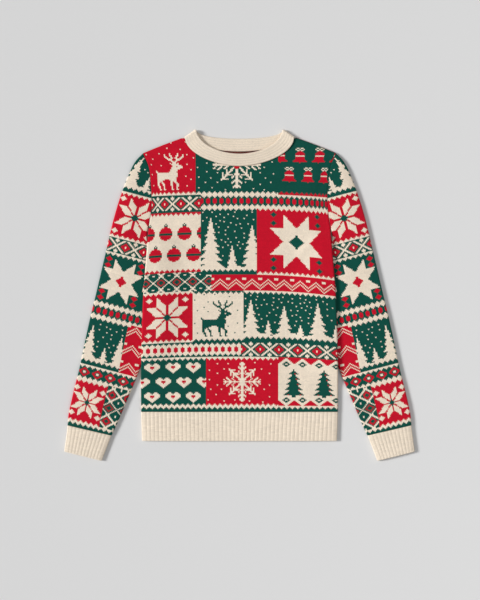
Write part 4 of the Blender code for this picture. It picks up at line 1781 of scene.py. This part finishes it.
@dataclass
class Neckband:
    """The doubled neckband: a ring that is flat in front and behind and turns over at each shoulder."""

    name: str
    seam_half_width: float = 0.1220
    seam_fold_y: float = 0.3515
    front_seam_drop: float = 0.0612
    back_seam_drop: float = 0.0280
    free_half_width: float = 0.0960
    free_fold_y: float = 0.3697
    front_free_drop: float = 0.0530
    back_free_drop: float = 0.0187
    seam_power: float = 1.8
    front_free_power: float = 1.9
    back_free_power: float = 2.1
    thickness: float = 0.0040
    ridges: int = 5
    ridge_height: float = 0.0003
    edge: float = 0.0012
    back_z: float = 0.0020
    fold_z: float = 0.0072
    seam_z: float = 0.0056
    free_z: float = 0.0082
    columns: int = 64
    turns: int = 12
    rows: int = 30
    coarse: int = 2
    tip_round: float = 0.045
    tip_run: float = 0.04
    width: float = 0.030
    seed: int = 7
    # share of painted light on the ridges against the grooves
    painted_ridge_shade: float = 0.10

    def arch(self, width: float, drop: Array, share: Array, power: Array) -> tuple[Array, Array]:
        """Points of a rounded neckline: x and how far they lie under the fold line's height."""
        return width * share, drop * (1 - np.abs(share) ** power) ** (1 / power)

    def wave_at(self, across: Array) -> Array:
        """How much of its height a ridge has, from 0 between two ridges to 1 in its middle."""
        return (1 - np.cos(2 * math.pi * self.ridges * np.minimum(across, 1))) / 2

    def place(self, share: Array, turn: Array, across: Array, off: Array, ridged: Array) -> Array:
        """Points of the band.

        Args:
            share: Places from the left shoulder at -1 to the right one at 1.
            turn: 0 in front, pi behind, and between them round a shoulder.
            across: Places from the seam at 0 to the free edge at 1.
            off: Distances from the middle of the band's thickness, towards the front's outside.
            ridged: 1 on the outer face, -1 on the inner one and 0 on the edges.

        Returns:
            The points.
        """
        front = (1 + np.cos(turn)) / 2
        seam_drop = self.front_seam_drop * front + self.back_seam_drop * (1 - front)
        free_drop = self.front_free_drop * front + self.back_free_drop * (1 - front)
        seam_x, seam_y = self.arch(self.seam_half_width, seam_drop, share, self.seam_power)
        free_power = self.front_free_power * front + self.back_free_power * (1 - front)
        free_x, free_y = self.arch(self.free_half_width, free_drop, share, free_power)
        start = np.stack([seam_x, self.seam_fold_y - seam_y], axis=-1)
        run = np.stack([free_x, self.free_fold_y - free_y], axis=-1) - start
        run = run * (1 - self.tip_round * smooth(1 - (1 - np.abs(share)) / self.tip_run))[..., None]
        reach = self.edge / np.linalg.norm(run, axis=-1)
        beyond = np.maximum(across - 1, 0) * reach
        spot = start + run * (np.minimum(across, 1) + beyond)[..., None]
        fold_x, fold_y = self.seam_half_width - self.free_half_width, self.free_fold_y - self.seam_fold_y
        size = math.hypot(fold_x, fold_y)
        middle, radius = (self.fold_z + self.back_z) / 2, (self.fold_z - self.back_z) / 2
        raised = np.where(ridged > 0, front, np.where(ridged < 0, front - 1, 0))
        lift = self.ridge_height * self.wave_at(across) * raised
        arched = self.seam_z + (self.free_z - self.seam_z) * np.minimum(across, 1) - self.fold_z
        z = middle + front * arched * (1 - np.abs(share) ** 4)
        out = radius + off + lift
        x = spot[..., 0] + np.copysign(fold_y / size, share) * np.sin(turn) * out
        y = spot[..., 1] + fold_x / size * np.sin(turn) * out
        return np.stack([x, y, z + np.cos(turn) * out], axis=-1)

    def build(self, material: bpy.types.Material) -> bpy.types.Object:
        """Makes the band.

        Args:
            material: Its finish.

        Returns:
            The new object.
        """
        shares = np.sin(math.pi / 2 * np.arange(-self.columns, self.columns + 1) / self.columns)
        turns = math.pi * np.arange(1, self.turns) / self.turns
        share = np.concatenate([shares, np.ones(len(turns)), shares[::-1], -np.ones(len(turns))])
        turn = np.concatenate([0 * shares, turns, 0 * shares + math.pi, turns[::-1]])
        half = self.thickness / 2
        face = np.linspace(0, 1, self.rows + 1)
        inside = face[:: -self.coarse]
        across = np.concatenate([face, 1 + np.sin(LIP), inside])
        off = np.concatenate([0 * face + half, half * np.cos(LIP), 0 * inside - half])
        ridged = np.sign(off) * (across <= 1)
        points = self.place(share[:, None], turn[:, None], across[None, :], off[None, :], ridged[None, :])
        middle = points[:, self.rows // 2]
        step = np.linalg.norm(np.roll(middle, -1, axis=0) - middle, axis=-1)
        along = np.concatenate([[0], np.cumsum(step)]) / CLOTH.row
        round_step = np.abs(np.diff(across, append=0)) * self.width + self.edge / 2
        up = np.concatenate([[0], np.cumsum(round_step)]) / CLOTH.stitch
        random = np.random.default_rng(self.seed)
        shade = 1 + RIB_SHADE * random.standard_normal(points.shape[:2])
        # Painted light and shade: the ridges are coloured lighter than the grooves between them, which also
        # lightens the whole band a little.
        shade = shade * (1 + self.painted_ridge_shade * self.wave_at(across)[None, :])
        colors = np.array(YARN_COLORS[Yarn.CREAM]) * shade[..., None]
        stitches = np.stack(np.meshgrid(up, along), axis=-1)
        draft = Draft()
        draft.add_grid(points, colors, stitches)
        return draft.build(self.name, material)


# Finishes.


Tree = bpy.types.NodeTree
Socket = bpy.types.NodeSocket
Sockets = bpy.types.bpy_prop_collection
Value = Socket | float | Sequence[float]


class Wires:
    """Adds nodes to a tree, with values or other nodes' outputs on their inputs."""

    def __init__(self, tree: Tree) -> None:
        """Keeps the tree."""
        self.tree = tree

    def put(self, socket: Socket, value: Value) -> None:
        """Sets an input.

        Args:
            socket: The input.
            value: The value that it takes, or the output that it is linked to.
        """
        if isinstance(value, Socket):
            self.tree.links.new(value, socket)
        else:
            socket.default_value = value

    def add(self, kind: str, inputs: dict[str | int, Value], **settings: object) -> Sockets:
        """Adds a node.

        Args:
            kind: Its type.
            inputs: What its inputs take, by their names or numbers.
            settings: Its own settings.

        Returns:
            Its outputs.
        """
        node = self.tree.nodes.new(f"ShaderNode{kind}")
        for name, setting in settings.items():
            setattr(node, name, setting)
        for name, value in inputs.items():
            self.put(node.inputs[name], value)
        return node.outputs

    def math(self, operation: str, *values: Value) -> Socket:
        """A math node's output."""
        return self.add("Math", dict(enumerate(values)), operation=operation)[0]

    def noise(self, coordinates: Socket, scale: float, detail: float) -> Socket:
        """A noise texture's value."""
        return self.add("TexNoise", {"Vector": coordinates, "Scale": scale, "Detail": detail})["Fac"]

    def remap(self, value: Socket, low: float, high: float, to_low: float, to_high: float) -> Socket:
        """A value moved from one range to another and held at its ends."""
        ends = {"From Min": low, "From Max": high, "To Min": to_low, "To Max": to_high}
        return self.add("MapRange", {"Value": value, **ends})["Result"]


def effect(name: str, inputs: dict[str, str], outputs: dict[str, str]) -> tuple[Wires, Sockets, Sockets]:
    """Starts a shared effect.

    Args:
        name: The effect's name.
        inputs: Socket type for each named input.
        outputs: Socket type for each named output.

    Returns:
        The wires of its tree, and the sockets inside it that hold the inputs and take the outputs.
    """
    tree = bpy.data.node_groups.new(name, "ShaderNodeTree")
    for direction, sockets in (("INPUT", inputs), ("OUTPUT", outputs)):
        for label, kind in sockets.items():
            tree.interface.new_socket(name=label, in_out=direction, socket_type=f"NodeSocket{kind}")
    given = tree.nodes.new("NodeGroupInput").outputs
    return Wires(tree), given, tree.nodes.new("NodeGroupOutput").inputs


def knit_relief() -> Tree:
    """Shapes two legs of yarn in a V for each stitch.

    Returns:
        The effect, which gives the legs' height and a mask of the gaps between them.
    """
    leg_power, row_power, bridge = 0.6, 0.5, 0.7
    valley, crest, gap_top = 0.45, 0.55, 0.45
    wires, given, taken = effect(
        "knit_relief", {"Stitch": "Vector", "Slant": "Float"}, {"Height": "Float", "Gap": "Float"}
    )
    place = wires.add("SeparateXYZ", {0: given["Stitch"]})
    half = wires.math("FRACT", place["X"])
    side = wires.math("ABSOLUTE", wires.math("MULTIPLY_ADD", half, 2.0, -1.0))
    middle = wires.math("SUBTRACT", 1.0, side)
    leg = wires.math("MULTIPLY", wires.math("MULTIPLY", side, middle), 4.0)
    shifted = wires.math("MULTIPLY_ADD", middle, given["Slant"], place["Y"])
    turn = wires.math("FRACT", shifted)
    row = wires.math("MULTIPLY", wires.math("MULTIPLY", turn, wires.math("SUBTRACT", 1.0, turn)), 4.0)
    full_leg, between = wires.math("POWER", leg, leg_power), wires.math("MULTIPLY", middle, bridge)
    round_leg = wires.math("MAXIMUM", full_leg, between)
    round_row = wires.math("MULTIPLY_ADD", wires.math("POWER", row, row_power), crest, valley)
    height = wires.math("MULTIPLY", round_leg, round_row)
    wires.put(taken["Height"], height)
    wires.put(taken["Gap"], wires.remap(height, 0.0, gap_top, 1.0, 0.0))
    return wires.tree


NOISE_SPAN = (0.3, 0.7)  # nearly all values of a noise texture lie between these
PILL_SPAN = (0.70, 0.78)  # pills grow where their noise climbs over these
FIBRE_SHADE, CLOUD_SHADE = 0.08, 0.025


def wool_fuzz() -> Tree:
    """Makes the unevenness of brushed yarn: its fibres, broad clouds of shade, and pills.

    Returns:
        The effect, which gives a factor for the colour, a height and a mask of pills.
    """
    wires, given, taken = effect(
        "wool_fuzz",
        {"Coordinates": "Vector", "Strength": "Float"},
        {"Shade": "Float", "Height": "Float", "Pills": "Float"},
    )
    fibres = wires.noise(given["Coordinates"], scale=2600.0, detail=3.0)
    clouds = wires.noise(given["Coordinates"], scale=46.0, detail=2.0)
    pills = wires.noise(given["Coordinates"], scale=420.0, detail=1.0)
    fine = wires.remap(fibres, *NOISE_SPAN, -FIBRE_SHADE, FIBRE_SHADE)
    broad = wires.remap(clouds, *NOISE_SPAN, -CLOUD_SHADE, CLOUD_SHADE)
    uneven = wires.math("ADD", fine, broad)
    wires.put(taken["Shade"], wires.math("MULTIPLY_ADD", uneven, given["Strength"], 1.0))
    wires.put(taken["Height"], fibres)
    wires.put(taken["Pills"], wires.remap(pills, *PILL_SPAN, 0.0, 1.0))
    return wires.tree


@dataclass(frozen=True)
class KnitFinish:
    """A knit of soft yarn, coloured stitch by stitch from the mesh."""

    name: str
    relief: float
    fuzz: float
    # share of painted shade in the gaps between the legs of the stitches
    painted_gap_shade: float
    roughness: tuple[float, float]
    sheen: float = 0.05
    sheen_roughness: float = 0.6
    specular: float = 0.08
    bump: float = 0.8
    fibre_height: float = 0.25
    pill_height: float = 0.3
    pill_shade: float = 0.10

    def build(self, relief: Tree, fuzz: Tree) -> bpy.types.Material:
        """Makes the material.

        Args:
            relief: The effect that shapes the stitches.
            fuzz: The effect that makes the yarn uneven.

        Returns:
            The material.
        """
        material = bpy.data.materials.new(self.name)
        material.use_nodes = True
        wires = Wires(material.node_tree)
        stitch = wires.add("UVMap", {}, uv_map="stitch")["UV"]
        place = wires.add("TexCoord", {})["Object"]
        yarn = wires.add("Attribute", {}, attribute_name="yarn")["Color"]
        knit = wires.add("Group", {"Stitch": stitch, "Slant": CLOTH.slant}, node_tree=relief)
        wool = wires.add("Group", {"Coordinates": place, "Strength": self.fuzz}, node_tree=fuzz)
        # Painted shade: the colour is darkened in the gaps between the legs of each stitch, where shade
        # falls.
        gap = wires.math("MULTIPLY_ADD", knit["Gap"], -self.painted_gap_shade, 1.0)
        pills = wires.math("MULTIPLY_ADD", wool["Pills"], self.pill_shade, 1.0)
        shade = wires.math("MULTIPLY", wires.math("MULTIPLY", wool["Shade"], gap), pills)
        height = wires.math("MULTIPLY_ADD", wool["Height"], self.fibre_height, knit["Height"])
        height = wires.math("MULTIPLY_ADD", wool["Pills"], self.pill_height, height)
        bump = wires.add("Bump", {"Strength": self.bump, "Distance": self.relief, "Height": height})
        finish = {
            "Base Color": wires.add("VectorMath", {0: yarn, "Scale": shade}, operation="SCALE")[0],
            "Roughness": wires.remap(wool["Height"], *NOISE_SPAN, *self.roughness),
            "Normal": bump["Normal"],
            "Sheen Weight": self.sheen,
            "Sheen Roughness": self.sheen_roughness,
            "Specular IOR Level": self.specular,
        }
        shader = material.node_tree.nodes["Principled BSDF"]
        for name, value in finish.items():
            wires.put(shader.inputs[name], value)
        return material


# The scene.


@dataclass
class Studio:
    """A pale floor, soft light from a wide window and a lamp, and a camera straight above."""

    floor_size: float = 90.0
    floor_z: float = -0.0003
    floor_grey: float = 0.72
    floor_roughness: float = 0.9
    sky: float = 0.33
    window_spot: tuple[float, float, float] = (-2.9, 0.4, 1.5)
    window_strength: float = 3.6
    window_angle: float = 0.26
    lamp_spot: tuple[float, float, float] = (1.9, -0.8, 2.4)
    lamp_power: float = 14.0
    lamp_size: float = 2.2
    eye: tuple[float, float, float] = (0.0011, -0.01125, 3.007)
    lens: float = 80.0
    sensor: float = 36.0

    def build_floor(self) -> None:
        """Makes the floor."""
        half = self.floor_size / 2
        mesh = bpy.data.meshes.new("floor")
        corners = [(x * half, y * half, self.floor_z) for x, y in ((-1, -1), (1, -1), (1, 1), (-1, 1))]
        mesh.from_pydata(corners, [], [(0, 1, 2, 3)])
        material = bpy.data.materials.new("floor")
        material.use_nodes = True
        shader = material.node_tree.nodes["Principled BSDF"]
        shader.inputs["Base Color"].default_value = (self.floor_grey,) * 3 + (1,)
        shader.inputs["Roughness"].default_value = self.floor_roughness
        mesh.materials.append(material)
        put_in_scene("floor", mesh)

    def add_light(self, data: bpy.types.Light, spot: Sequence[float]) -> None:
        """Puts a light in its place, facing the garment.

        Args:
            data: The light.
            spot: Its place.
        """
        light = put_in_scene(data.name, data)
        light.location = spot
        light.rotation_euler = (-Vector(spot)).to_track_quat("-Z", "Y").to_euler()

    def build_lights(self) -> None:
        """Makes the window's light from the upper left, and a broad lamp on the other side."""
        window = bpy.data.lights.new("window", "SUN")
        window.energy, window.angle = self.window_strength, self.window_angle
        self.add_light(window, self.window_spot)
        lamp = bpy.data.lights.new("lamp", "AREA")
        lamp.energy, lamp.size = self.lamp_power, self.lamp_size
        self.add_light(lamp, self.lamp_spot)

    def build(self) -> None:
        """Makes the floor, the lights, the world and the camera."""
        self.build_floor()
        self.build_lights()
        world = bpy.data.worlds.new("studio")
        world.use_nodes = True
        background = world.node_tree.nodes["Background"]
        background.inputs["Color"].default_value = (1, 1, 1, 1)
        background.inputs["Strength"].default_value = self.sky
        data = bpy.data.cameras.new("camera")
        data.lens, data.sensor_width = self.lens, self.sensor
        camera = put_in_scene("camera", data)
        camera.location = self.eye
        scene = bpy.context.scene
        scene.world, scene.camera = world, camera
        scene.view_settings.view_transform = "Standard"


SIDES = ((-1, "left"), (1, "right"))


class Sweater:
    """The whole garment: builds each piece and says which solid it stands for."""

    def __init__(self) -> None:
        """Makes the shape, the neckband and the finishes that the pieces share."""
        self.body, self.neckband = BodyShape(), Neckband("neckband_rib")
        relief, fuzz = knit_relief(), wool_fuzz()
        self.jacquard = KnitFinish(
            "jacquard_knit", relief=0.0007, fuzz=1.0, painted_gap_shade=0.30, roughness=(0.86, 0.96)
        ).build(relief, fuzz)
        self.rib = KnitFinish(
            "rib_knit", relief=0.0006, fuzz=0.8, painted_gap_shade=0.22, roughness=(0.84, 0.95)
        ).build(relief, fuzz)
        self.pieces: dict[str, bpy.types.Object] = {}

    def take(self, name: str, piece: bpy.types.Object) -> None:
        """Puts a piece on the garment in place of the solid with its name.

        Args:
            name: The solid's name.
            piece: The piece.
        """
        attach(piece, "root")
        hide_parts(name)
        self.pieces[name] = piece

    def build_panels(self) -> None:
        """Makes the front and the back, whose pattern is the front's the other way round."""
        body, band = self.body, self.neckband
        chart = draw_chart(BODY_BLOCKS, width=146, height=260)
        front = Panel(
            "front_knit", True, band.front_seam_drop, body, chart, FRONT_CREASES, SMALL_FRONT_CREASES
        )
        back = Panel("back_knit", False, band.back_seam_drop, body, chart[:, ::-1], BACK_CREASES)
        self.take("front", front.build(self.jacquard))
        self.take("back", back.build(self.jacquard))

    def build_sleeves(self) -> None:
        """Makes both sleeves."""
        chart = draw_chart(SLEEVE_BLOCKS, width=58, height=270)
        for side, word in SIDES:
            sleeve = Sleeve(f"sleeve_{word}_knit", side, self.body, chart)
            self.take(f"sleeve_{word}", sleeve.build(self.jacquard))

    def build_hem(self) -> None:
        """Makes the hem."""
        length = self.body.hem_top - self.body.hem_bottom
        hem = Hem("hem_rib", length, ribs=48, rows=27, seed=41, lean=0.0025, body=self.body)
        self.take("hem", hem.build(self.rib))

    def build_cuffs(self) -> None:
        """Makes both cuffs."""
        for side, word in SIDES:
            cuff = Cuff(f"cuff_{word}_rib", length=0.058, ribs=11, rows=24, seed=31 + side, side=side)
            self.take(f"cuff_{word}", cuff.build(self.rib))

    def build_neckband(self) -> None:
        """Makes the neckband."""
        self.take("collar", self.neckband.build(self.rib))

    def declare_cloth(self) -> None:
        """A step that does nothing."""


def main() -> None:
    """Builds the garment and the studio."""
    logging.basicConfig(level=logging.INFO, format="%(message)s")
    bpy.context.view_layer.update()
    sweater = Sweater()
    steps = (
        sweater.build_panels,
        sweater.build_sleeves,
        sweater.build_hem,
        sweater.build_cuffs,
        sweater.build_neckband,
        sweater.declare_cloth,
    )
    for step in steps:
        step()
        log.info("done: %s", step.__name__)
    Studio().build()


if __name__ == "__main__":
    main()
